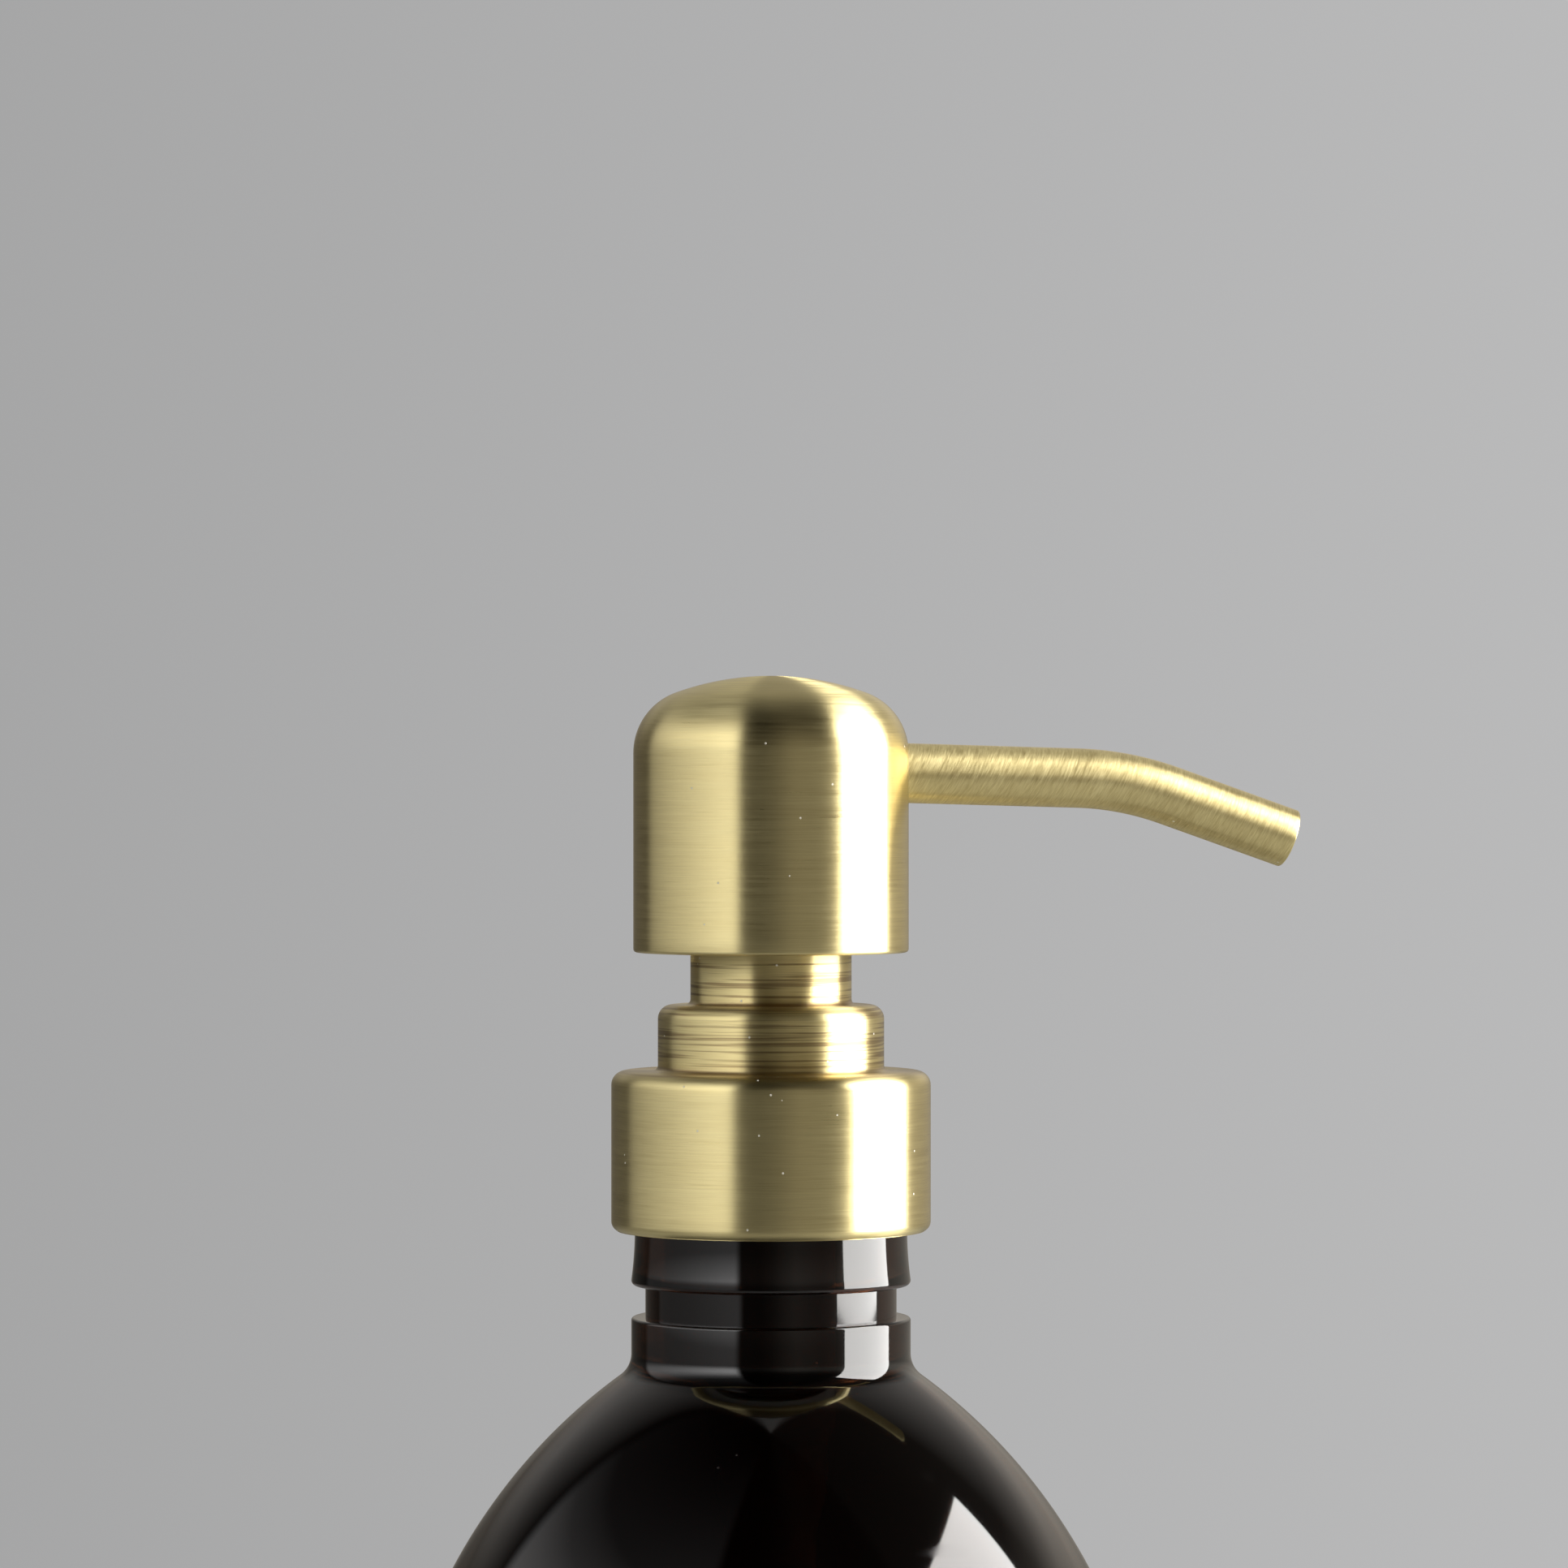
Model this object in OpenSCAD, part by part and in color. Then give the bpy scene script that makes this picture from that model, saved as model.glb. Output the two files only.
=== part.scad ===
// Soap pump dispenser: a brushed-brass lotion pump on a round amber bottle.
// Millimetres, +Z up. The origin is the centre of the bottle's base, and the spout points along +X.

/* [Bottle] */
// Height of the bottle from its base to its lip
bottle_h = 163; // [130:1:200]
// Outside diameter of the bottle's body
bottle_d = 77; // [60:1:90]
// Thickness of the bottle's wall
bottle_wall = 1; // [0.6:0.1:2.5]
// Thickness at the middle of the base
base_thick = 1.6; // [1:0.1:4]
// Radius of the long curve of the shoulder
shoulder_r = 57; // [45:1:62]
// Radius of the rounded heel
heel_r = 7; // [4:0.5:9]
// Depth of the hollow under the base
push_up = 2.2; // [1:0.1:3]

/* [Neck] */
// Diameter of the neck at the root of its thread
neck_d = 25.1; // [23:0.1:30]
// Wall of the neck at the root of its thread
neck_wall = 1.7; // [1.5:0.05:2.2]
// Height of the neck from the top of the ledge to the lip
neck_h = 20.5; // [19:0.1:24]
// How far the ledge and the bead stand out from the neck
ledge_out = 1.4; // [1.2:0.05:1.6]
// Height of the ledge's straight wall
ledge_h = 3.6; // [2:0.1:5]
// Radius of the curve between the ledge and the shoulder
ledge_fillet = 2.8; // [1:0.1:4]
// Gap between the ledge and the bead
bead_gap = 3.2; // [2:0.1:4]
// Height of the bead
bead_h = 6.3; // [3:0.1:6.5]
// Height of the thread's crest over its root
thread_depth = 1.15; // [0.8:0.05:1.15]
// Rise of the thread in one turn
thread_pitch = 4.233; // [3:0.001:4.5]
// Turns of thread on the neck
thread_turns = 1.5; // [1:0.25:1.5]

/* [Collar] */
// Wall of the plastic liner inside the brass collar
liner_wall = 1.3; // [1.1:0.05:4]
// Height of the brass collar
collar_h = 16; // [15:0.1:17]
// Wall of the drawn brass collar
collar_wall = 0.6; // [0.4:0.05:0.8]
// Diameter of the middle step
step_d = 22.6; // [21.5:0.1:23.5]
// Height of the middle step
step_h = 6.6; // [5.5:0.1:7.5]
// Diameter of the narrow sleeve
sleeve_d = 16.1; // [15:0.1:17.5]
// Height of the narrow sleeve
sleeve_h = 6.8; // [6:0.1:7]
// Radius of the rounded shoulders of the collar
collar_round = 1.4; // [1:0.1:2]

/* [Head] */
// Outside diameter of the brass dome
head_d = 27.5; // [26:0.1:30]
// Height of the dome from its rim to its top
head_h = 27.6; // [26:0.1:30]
// Wall of the brass dome
head_wall = 0.7; // [0.5:0.05:1]
// Radius of the dome's crown
crown_r = 28; // [22:1:40]
// Radius of the curve between the crown and the side
crown_corner = 6.4; // [4:0.1:8]
// Stroke of the pump
stroke = 11.5; // [9:0.1:11.5]
// Gap left between the dome's rim and the collar at full stroke
rim_gap = 0.4; // [0.3:0.1:1]

/* [Spout] */
// Outside diameter of the spout
spout_d = 6; // [5:0.1:6.5]
// Wall of the brass spout
spout_wall = 0.5; // [0.3:0.05:0.8]
// Wall of the plastic tube inside the spout
spout_liner_wall = 0.6; // [0.4:0.05:0.8]
// Distance from the pump's axis to the bend of the spout
spout_bend_x = 36.5; // [28:0.5:50]
// Distance from the pump's axis to the middle of the spout's tip
spout_reach = 53.7; // [48:0.1:70]
// Height of the spout's bend under the top of the dome
spout_drop = 10.34; // [10:0.01:10.6]
// Fall of the spout's first stretch, in degrees
spout_fall = 1.6; // [0:0.1:2]
// Fall of the spout's last stretch, in degrees
tip_fall = 19.2; // [10:0.1:40]
// Radius of the spout's bend
bend_r = 32; // [20:1:34]

/* [Pump] */
// Bore of the pump's cylinder
bore_d = 11; // [10:0.1:12]
// Wall of the pump's cylinder
housing_wall = 1; // [0.8:0.05:1.2]
// Radial depth of the piston's seal
seal_depth = 0.9; // [0.8:0.05:1.1]
// Wall of the piston around the stem
piston_wall = 1; // [0.9:0.05:1.2]
// Bore of the stem
stem_bore = 3; // [2.5:0.1:3.2]
// Diameter of the inlet ball
inlet_ball_d = 4.76; // [4.5:0.01:5]
// Diameter of the outlet ball
outlet_ball_d = 3.5; // [3.4:0.01:3.8]
// Thickness of the spring's wire
spring_wire = 0.9; // [0.6:0.05:1]
// Gap all round between the spring and the cylinder
spring_play = 0.55; // [0.4:0.05:0.7]
// Coils of the spring
spring_coils = 8; // [6:1:8]
// Outside diameter of the dip tube
dip_d = 6.4; // [5.5:0.1:6.6]
// Wall of the dip tube
dip_wall = 0.9; // [0.6:0.05:1]
// Gap between the dip tube and the bottom of the bottle
dip_gap = 5; // [3:0.5:20]

/* [Fits] */
// Radial clearance of plastic parts that slide or turn on each other
run_clear = 0.06; // [0.04:0.01:0.1]
// Radial clearance between the two threads
thread_clear = 0.22; // [0.15:0.01:0.3]
// Gap all round between the spout's plastic tube and its brass tube
liner_gap = 0.05; // [0.04:0.01:0.1]
// Gap left between parts that come to rest on each other
stop_gap = 0.03; // [0.02:0.01:0.05]

/* [Hidden] */
$fn = 96;
eps = 0.01;

// Heights of the bottle and its neck
lip_z = bottle_h;
ledge_top = lip_z - neck_h;
bead_z = ledge_top + bead_gap;
bead_top = bead_z + bead_h;
body_r = bottle_d / 2;
neck_r = neck_d / 2;
ledge_r = neck_r + ledge_out;
bore_r = neck_r - neck_wall;
thread_r = neck_r + thread_depth;
bead_round = 0.5;

// The ledge's curve touches its straight wall and the shoulder's arc
wall_end_z = ledge_top - ledge_h;
shoulder_x = body_r - shoulder_r;
blend_x = ledge_r + ledge_fillet;
blend_run = shoulder_r + ledge_fillet;
shoulder_z = wall_end_z - sqrt(pow(blend_run, 2) - pow(blend_x - shoulder_x, 2));
blend_share = shoulder_r / blend_run;
blend_touch = [
    shoulder_x + (blend_x - shoulder_x) * blend_share,
    shoulder_z + (wall_end_z - shoulder_z) * blend_share
];
ring_r = body_r - heel_r - 1;
stand_r = ring_r - 7;
push_up_r = (pow(stand_r, 2) + pow(push_up, 2)) / (2 * push_up);
floor_z = push_up + base_thick;

// The stack of parts that the collar clamps onto the lip
gasket_h = 1;
flange_h = 1.2;
web_h = 1.2;
flange_z = lip_z + gasket_h;
flange_top = flange_z + flange_h;
deck_z = flange_top + web_h + collar_wall;
flange_r = neck_r + 0.35;
gasket_inset = 0.4;

// The brass collar
collar_z = deck_z - collar_h;
step_z = deck_z + step_h;
sleeve_z = step_z + sleeve_h;
liner_bore_r = ledge_r + 0.1;
liner_r = liner_bore_r + liner_wall;
collar_r = liner_r + collar_wall;
step_r = step_d / 2;
sleeve_r = sleeve_d / 2;
foot_round = 1;
collar_fillet = 0.55;
liner_lift = 0.3;
liner_turns = 1.25;

// The thread's ridges
thread_top = lip_z - 2.2;
thread_root_half = 1.15;
thread_crest_half = 0.5;
thread_sink = 0.4;
thread_fade = 30;

// The brass dome
rim_z = deck_z + stroke + rim_gap;
top_z = rim_z + head_h;
head_r = head_d / 2;
corner_x = head_r - crown_corner;
crown_z = top_z - crown_r;
corner_z = crown_z + sqrt(pow(crown_r - crown_corner, 2) - pow(corner_x, 2));
crown_slope = (corner_z - crown_z) / corner_x;

// The spout's axis: a root on the pump's axis, a bend and a tip, all in the plane y = 0
spout_r = spout_d / 2;
bore_spout_r = spout_r - spout_wall;
liner_spout_r = bore_spout_r - spout_liner_wall;
bend_z = top_z - spout_drop;
root_z = bend_z + spout_bend_x * tan(spout_fall);
root_x = 4.5;
seal_w = 1;
bend_turn = tip_fall - spout_fall;
bend_tangent = bend_r * tan(bend_turn / 2);
first_len = (spout_bend_x / cos(spout_fall)) - bend_tangent;
last_len = (spout_reach - spout_bend_x) / cos(tip_fall) - bend_tangent;
bend_grip = 0.4;
bend_swell = 0.02;
tip_inset = 0.6;

// The plastic core of the head
core_ring = 1.35;
core_web_z = sleeve_z + stroke + 0.4;
core_roof_z = root_z + spout_r + 0.6;
core_top_z = core_roof_z + 1.8;
core_skirt_z = rim_z + 9;
rib_w = 1.3;
spout_rib_wall = 1;
stem_top = root_z - spout_r - 1.6;
channel_r = 1.6;

// The cylinder, with the spring, the stem and the foot of the ball cage that go into it
cyl_r = bore_d / 2;
housing_r = cyl_r + housing_wall;
groove_r = cyl_r - seal_depth;
stem_r = groove_r - piston_wall;
spring_mid_r = cyl_r - spring_play - spring_wire / 2;
cage_r = cyl_r - 1;

// The guide, which stops the piston at the top of its travel, and the core's hub that slides in it
guide_plug = 1.5;
guide_floor_z = flange_top - guide_plug;
upstand_h = 3;
upstand_wall = 1;
guide_deck_z = flange_top + upstand_h + 0.2;
guide_seat_z = guide_deck_z + 1.6;
guide_top = sleeve_z - 0.8;
guide_r = sleeve_r - collar_wall - 0.15;
guide_bore_r = guide_r - 1;
guide_skirt_wall = 1.3;
guide_skirt_gap = 0.3;
guide_skirt_r = min(
    housing_r + upstand_wall + guide_skirt_wall,
    step_r - collar_wall - guide_skirt_gap
);
snap = 0.25;
wiper_h = 1.1;
hub_r = guide_bore_r - 0.4;
hub_z = guide_seat_z + wiper_h + stroke + 0.3;

// The piston and the foot of the cylinder
piston_top = guide_floor_z - stop_gap;
piston_h = 7.6;
piston_z = piston_top - piston_h;
spring_room = 22;
cage_top = piston_z - spring_room;
cage_flange = 1.4;
cage_boss_r = cage_r + 1.1;
cage_z = cage_top - cage_flange;
chamber_z = cage_z - 6.1;
throat_h = 5.5;
throat_r = 2;
socket_top = chamber_z - throat_h;
socket_h = 9;
socket_z = socket_top - socket_h;
dip_r = dip_d / 2;
vent_r = 0.6;
vent_z = piston_z + piston_h / 2;

// The balls rest on the sharp edges of their seats
inlet_r = inlet_ball_d / 2;
inlet_z = chamber_z + sqrt(pow(inlet_r, 2) - pow(throat_r, 2)) + stop_gap;
inlet_lift = 1.4;
cage_roof_z = inlet_z + inlet_r + inlet_lift + 0.1;
outlet_r = outlet_ball_d / 2;
outlet_lift = 1.6;
valve_r = 2.2;
valve_z = stem_top - outlet_ball_d - outlet_lift + 0.65;
outlet_z = valve_z + sqrt(pow(outlet_r, 2) - pow(stem_bore / 2, 2)) + stop_gap;

// The piston under the stem
piston_flange_r = cyl_r - 0.4;
piston_floor = 1.6;
piston_lid = 1.15;
stem_foot = piston_z + piston_floor + stop_gap;
bead_out = 0.35;
bead_up = 2.4;
spigot_h = 6;
spigot_r = spring_mid_r - spring_wire / 2 - 0.85;

// ---------- Outlines, drawn as half sections with x as the radius and y as the height ----------

// A block from the axis out to r, between two heights, with its upper outer corner rounded
module block(r, low, high, corner = 0) {
    if (corner > 0) {
        translate([0, low]) square([r, high - corner - low]);
        translate([0, low]) square([r - corner, high - low]);
        translate([r - corner, high - corner]) circle(corner);
    } else {
        translate([0, low]) square([r, high - low]);
    }
}

// The hollow curve where a wall of radius r stands on a flat top at height z
module inner_fillet(r, z, f) {
    difference() {
        translate([r - eps, z - eps]) square(f + eps);
        translate([r + f, z + f]) circle(f);
    }
}

// A ring between two radii and two heights
module ring(r_in, r_out, low, high) {
    rotate_extrude() translate([r_in, low]) square([r_out - r_in, high - low]);
}

// The outline of the dome, shrunk by an inset, down to a given height
module dome_outline(inset, low) {
    intersection() {
        translate([0, crown_z]) circle(crown_r - inset);
        polygon([[0, crown_z], [0, top_z], [(top_z - crown_z) / crown_slope, top_z]]);
    }
    intersection() {
        translate([corner_x, corner_z]) circle(crown_corner - inset);
        translate([0, corner_z - crown_corner]) square([head_r, 2 * crown_corner]);
    }
    block(head_r - inset, low, corner_z);
}

// The outline of the stepped collar, shrunk by an inset
module collar_outline(inset, low) {
    block(collar_r - inset, low, deck_z - inset, collar_round - inset);
    block(step_r - inset, low, step_z - inset, collar_round - inset);
    block(sleeve_r - inset, low, sleeve_z + inset);
}

// ---------- Helical sweeps ----------

// Faces that join rings of corners, one ring after another, and close the two ends
function sweep_faces(rings, corners, flip = false) = let (
    walls = [
        for (i = [0:rings - 2], k = [0:corners - 1]) let (
            a = corners * i + k,
            b = corners * i + (k + 1) % corners
        ) [a, b, b + corners, a + corners]
    ],
    first_end = [for (k = [corners - 1:-1:0]) k],
    last_end = [for (k = [0:corners - 1]) corners * (rings - 1) + k]
) [
    for (face = concat(walls, [first_end, last_end]))
        flip ? [for (k = [len(face) - 1:-1:0]) face[k]] : face
];

// How far the thread stands up at an angle: it fades in and out at its two ends
function thread_share(angle, whole) = min(1, max(0.05, min(angle, whole - angle) / thread_fade));

// A helical ridge from its root radius to its crest radius, outwards or inwards
module thread_ridge(turns, z, root, crest, root_half, crest_half) {
    step_angle = 10;
    whole = turns * 360;
    count = floor(whole / step_angle);
    points = [
        for (i = [0:count]) let (
            angle = i * step_angle,
            tip = root + (crest - root) * thread_share(angle, whole),
            height = z + thread_pitch * angle / 360
        ) for (corner = [[root, -root_half], [tip, -crest_half], [tip, crest_half], [root, root_half]])
            [corner[0] * cos(angle), corner[0] * sin(angle), height + corner[1]]
    ];
    polyhedron(points, sweep_faces(count + 1, 4, crest < root));
}

// ---------- Bottle ----------

module bottle_outside() {
    // Body and heel
    translate([0, heel_r]) square([body_r, shoulder_z - heel_r]);
    square([body_r - heel_r, shoulder_z]);
    translate([body_r - heel_r, heel_r]) circle(heel_r);
    // Shoulder
    intersection() {
        translate([shoulder_x, shoulder_z]) circle(shoulder_r);
        translate([0, shoulder_z]) square([body_r, ledge_top - shoulder_z - eps]);
    }
    // The ledge and the curve that runs from it into the shoulder
    block(ledge_r, shoulder_z, ledge_top);
    difference() {
        polygon([
            [ledge_r - 1, wall_end_z], [blend_x, wall_end_z], blend_touch,
            [ledge_r - 1, blend_touch[1] - 2]
        ]);
        translate([blend_x, wall_end_z]) circle(ledge_fillet);
    }
    // Neck and bead
    block(neck_r, ledge_top - 1, lip_z, 0.6);
    translate([ledge_r - bead_round, bead_z + bead_round]) circle(bead_round);
    polygon([
        [neck_r - 1, bead_z], [ledge_r - bead_round, bead_z], [ledge_r, bead_z + bead_round],
        [ledge_r - 0.2, bead_top - 0.6], [neck_r, bead_top], [neck_r - 1, bead_top]
    ]);
}

module bottle_inside() {
    inner_r = body_r - bottle_wall;
    difference() {
        union() {
            translate([0, heel_r]) square([inner_r, shoulder_z - heel_r]);
            translate([0, bottle_wall]) square([body_r - heel_r, heel_r]);
            translate([body_r - heel_r, heel_r]) circle(heel_r - bottle_wall);
        }
        translate([0, push_up - push_up_r]) circle(push_up_r + base_thick);
    }
    intersection() {
        translate([shoulder_x, shoulder_z]) circle(shoulder_r - bottle_wall);
        translate([0, shoulder_z]) square([inner_r, ledge_top - shoulder_z]);
    }
    translate([0, shoulder_z]) square([bore_r, lip_z - shoulder_z + 1]);
}

module bottle() {
    color("#3a1c0c") {
        rotate_extrude() difference() {
            intersection() {
                bottle_outside();
                square([body_r + 1, lip_z + 1]);
            }
            bottle_inside();
            translate([0, push_up - push_up_r]) circle(push_up_r);
        }
        thread_ridge(
            thread_turns, thread_top - thread_turns * thread_pitch,
            neck_r - thread_sink, thread_r, thread_root_half, thread_crest_half
        );
    }
}

// ---------- Fixed parts of the pump ----------

module neck_gasket() {
    color("#d8d8d4") ring(bore_r + gasket_inset, flange_r, lip_z, flange_z);
}

module pump_housing() {
    color("#f0f0ec") difference() {
        rotate_extrude() difference() {
            union() {
                block(flange_r, flange_z, flange_top);
                block(housing_r + upstand_wall, flange_z, flange_top + upstand_h);
                translate([housing_r + upstand_wall, flange_top + upstand_h / 2]) circle(snap);
                block(housing_r, cage_z - 1, flange_top);
                polygon([
                    [0, socket_z], [dip_r + 1.2, socket_z], [dip_r + 1.4, socket_top],
                    [cage_boss_r, chamber_z - 1.5], [cage_boss_r, cage_z - 3],
                    [housing_r, cage_z - 1], [0, cage_z - 1]
                ]);
            }
            block(cyl_r, cage_z, flange_top + 1);
            block(housing_r, flange_top, flange_top + upstand_h + 1);
            block(cage_r, chamber_z, cage_z + 1);
            block(throat_r, socket_top - 1, chamber_z + 1);
            block(dip_r, socket_z - 1, socket_top);
        }
        // Vent that lets air into the bottle behind the piston
        translate([0, 0, vent_z]) rotate([0, 90, 0]) cylinder(r = vent_r, h = housing_r + 1);
    }
}

module stem_guide() {
    color("#fafaf6") rotate_extrude() difference() {
        union() {
            block(guide_skirt_r, flange_top, guide_seat_z, 0.4);
            block(cyl_r - run_clear, guide_floor_z, flange_top + 1);
            block(guide_r, guide_seat_z - 1, guide_top);
        }
        // Groove for the housing's upstand and its snap bead
        translate([cyl_r - run_clear, flange_top - eps])
            square([housing_r + upstand_wall - cyl_r + run_clear, upstand_h + 0.2]);
        translate([housing_r + upstand_wall, flange_top + upstand_h / 2]) circle(snap);
        block(stem_r + run_clear, guide_floor_z - 1, guide_seat_z + 1);
        block(guide_bore_r, guide_seat_z, guide_top + 1);
    }
}

module guide_seal() {
    // A ring with a thin lip that leans on the stem
    color("#e4e0d8") rotate_extrude() difference() {
        translate([stem_r + 0.03, guide_seat_z]) square([guide_bore_r - stem_r - 0.03, wiper_h]);
        translate([stem_r + 1.4, guide_seat_z + wiper_h]) circle(0.6);
    }
}

module ball_cage() {
    slots = 4;
    color("#f0f0ec") difference() {
        rotate_extrude() difference() {
            union() {
                block(cyl_r, cage_z, cage_top);
                block(cage_r, chamber_z, cage_z + 0.5);
            }
            block(inlet_r + 0.5, chamber_z - 1, cage_roof_z);
        }
        for (k = [0:slots - 1]) rotate(k * 360 / slots) {
            // Side windows around the ball, and holes in the roof above it
            translate([0, -0.7, chamber_z + 2]) cube([cage_r + 1, 1.4, cage_roof_z - chamber_z - 2]);
            translate([2.4, 0, cage_roof_z - 1]) cylinder(r = 0.75, h = cage_top - cage_roof_z + 2);
        }
    }
}

module inlet_ball() {
    color("#c8ccd0") translate([0, 0, inlet_z]) sphere(inlet_r);
}

module dip_tube() {
    color("#f4f4f0") difference() {
        ring(dip_r - dip_wall, dip_r, floor_z + dip_gap, socket_top);
        // Slanted lower end
        translate([0, 0, floor_z + dip_gap]) rotate([0, 25, 0])
            translate([-dip_d, -dip_d, -dip_d - 0.5]) cube([2 * dip_d, 2 * dip_d, dip_d]);
    }
}

// ---------- Spring ----------

// Height along the spring after a number of turns: the first and last turns lie nearly flat
function spring_rise(turn) = let (
    flat = 1,
    low = spring_wire / 2,
    high = spring_room - spring_wire / 2 - stop_gap,
    closed = spring_wire * 1.04,
    open = (high - low - 2 * closed * flat) / (spring_coils - 2 * flat)
) turn < flat ? low + turn * closed
    : turn > spring_coils - flat ? high - (spring_coils - turn) * closed
    : low + closed * flat + (turn - flat) * open;

module return_spring() {
    per_turn = 20;
    sides = 6;
    count = spring_coils * per_turn;
    wire_r = spring_wire / 2;
    points = [
        for (i = [0:count], k = [0:sides - 1]) let (
            angle = 360 * i / per_turn,
            around = 360 * k / sides,
            r = spring_mid_r + wire_r * cos(around)
        ) [r * cos(angle), r * sin(angle), cage_top + spring_rise(i / per_turn) + wire_r * sin(around)]
    ];
    color("#b8bcc0") polyhedron(points, sweep_faces(count + 1, sides));
}

// ---------- Piston and stem ----------

module piston_body() {
    color("#f0f0ec") rotate_extrude() difference() {
        union() {
            block(groove_r, piston_z, piston_top);
            block(piston_flange_r, piston_z, piston_z + piston_floor);
            block(piston_flange_r, piston_top - piston_lid, piston_top);
            block(spigot_r, piston_z - spigot_h, piston_z + 0.5);
        }
        block(stem_bore / 2, piston_z - spigot_h - 1, piston_top + 1);
        block(stem_r + run_clear, piston_z + piston_floor, piston_top + 1);
        // Groove for the stem's snap bead
        translate([stem_r, stem_foot + bead_up]) circle(bead_out + run_clear);
    }
}

module piston_seal() {
    low = piston_z + piston_floor;
    high = piston_top - piston_lid;
    lip_r = cyl_r - 0.03;
    waist_r = groove_r + 0.45;
    lip = 1.2;
    color("#e8e4dc") rotate_extrude() polygon([
        [groove_r, low], [waist_r, low + 0.1], [lip_r - 0.15, low], [lip_r, low + 0.3], [waist_r, low + lip],
        [waist_r, high - lip], [lip_r, high - 0.3], [lip_r - 0.15, high], [waist_r, high - 0.1],
        [groove_r, high]
    ]);
}

module stem() {
    color("#fafaf6") rotate_extrude() difference() {
        union() {
            block(stem_r, stem_foot, stem_top);
            translate([stem_r, stem_foot + bead_up]) circle(bead_out);
        }
        block(stem_bore / 2, stem_foot - 1, stem_top + 1);
        block(valve_r, valve_z, stem_top + 1);
    }
}

module outlet_ball() {
    color("#c8ccd0") translate([0, 0, outlet_z]) sphere(outlet_r);
}

// ---------- Collar ----------

module collar_liner() {
    thread_z = thread_top - thread_turns * thread_pitch - thread_pitch / 2;
    color("#ecece6") {
        rotate_extrude() difference() {
            intersection() {
                collar_outline(collar_wall, collar_z + liner_lift);
                block(liner_r, collar_z + liner_lift, deck_z - collar_wall);
            }
            block(liner_bore_r, collar_z, flange_top);
            block(guide_skirt_r + 0.3, flange_top - 1, deck_z);
        }
        thread_ridge(
            liner_turns, thread_z, liner_bore_r + 0.3, neck_r + thread_clear,
            thread_root_half - 0.15, thread_crest_half
        );
    }
}

module collar_shell() {
    color("#b8a670") rotate_extrude() difference() {
        union() {
            intersection() {
                collar_outline(0, collar_z);
                union() {
                    block(collar_r, collar_z + foot_round, sleeve_z);
                    translate([0, collar_z]) square([collar_r - foot_round, foot_round + 1]);
                    translate([collar_r - foot_round, collar_z + foot_round]) circle(foot_round);
                }
            }
            inner_fillet(step_r, deck_z, collar_fillet);
            inner_fillet(sleeve_r, step_z, collar_fillet);
        }
        collar_outline(collar_wall, collar_z - 1);
    }
}

// ---------- Head ----------

// A round bar along the spout's first stretch, between two distances from the pump's axis
module spout_bar(r, from, to) {
    translate([0, 0, root_z]) rotate([0, 90 + spout_fall, 0]) translate([0, 0, from])
        cylinder(r = r, h = to - from);
}

// The whole bent spout as a solid bar, from a distance on its first stretch to one short of its tip.
// The bend is a hair thicker than the straight stretches, which run a little way into it.
module spout_rod(r, from, inset) {
    spout_bar(r, from, first_len + bend_grip);
    translate([0, 0, root_z]) rotate([0, spout_fall, 0]) translate([first_len, 0, -bend_r]) {
        rotate([90, 0, 0]) rotate(90 - bend_turn) rotate_extrude(angle = bend_turn)
            translate([bend_r, 0]) circle(r + bend_swell);
        rotate([0, bend_turn, 0]) translate([-bend_grip, 0, bend_r]) rotate([0, 90, 0])
            cylinder(r = r, h = last_len - inset + bend_grip);
    }
}

module head_core() {
    dome_r = head_r - head_wall;
    color("#ecece6") difference() {
        union() {
            difference() {
                rotate_extrude() intersection() {
                    dome_outline(head_wall, core_skirt_z);
                    block(dome_r, core_skirt_z, core_top_z);
                }
                ring(hub_r, dome_r - core_ring, core_skirt_z - 1, core_roof_z);
            }
            rotate_extrude() block(hub_r, hub_z, core_roof_z + eps);
            // Three thin ribs, and the thick one that holds the spout
            for (angle = [90, 180, 270]) rotate(angle) translate([hub_r - 1, -rib_w / 2, core_web_z])
                cube([dome_r - core_ring - hub_r + 1.5, rib_w, core_roof_z - core_web_z + eps]);
            translate([hub_r - 1.5, -spout_r - spout_rib_wall, core_web_z]) cube([
                dome_r - core_ring - hub_r + 2, spout_d + 2 * spout_rib_wall, core_roof_z - core_web_z + eps
            ]);
        }
        translate([0, 0, hub_z - 1]) cylinder(r = stem_r, h = stem_top - hub_z + 1);
        translate([0, 0, stem_top - 1]) cylinder(r = channel_r, h = root_z - stem_top + 1);
        spout_bar(liner_spout_r, 0, root_x);
        spout_bar(spout_r, root_x - seal_w, head_r + 1);
    }
}

module head_shell() {
    color("#b8a670") difference() {
        rotate_extrude() {
            difference() {
                dome_outline(0, rim_z + head_wall / 2);
                dome_outline(head_wall, rim_z - 1);
            }
            translate([head_r - head_wall / 2, rim_z + head_wall / 2]) circle(head_wall / 2);
        }
        spout_bar(spout_r, head_r / 2, head_r + 2);
    }
}

module spout_tube() {
    color("#b8a670") difference() {
        spout_rod(spout_r, root_x, 0);
        spout_rod(bore_spout_r, root_x - 1, -1);
    }
}

module spout_liner() {
    color("#ecece6") difference() {
        spout_rod(bore_spout_r - liner_gap, root_x, tip_inset);
        spout_rod(liner_spout_r, root_x - 1, -1);
    }
}

module spout_seal() {
    color("#3c3c3c") difference() {
        spout_bar(spout_r, root_x - seal_w, root_x);
        spout_bar(liner_spout_r, root_x - seal_w - 1, root_x + 1);
    }
}

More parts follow.
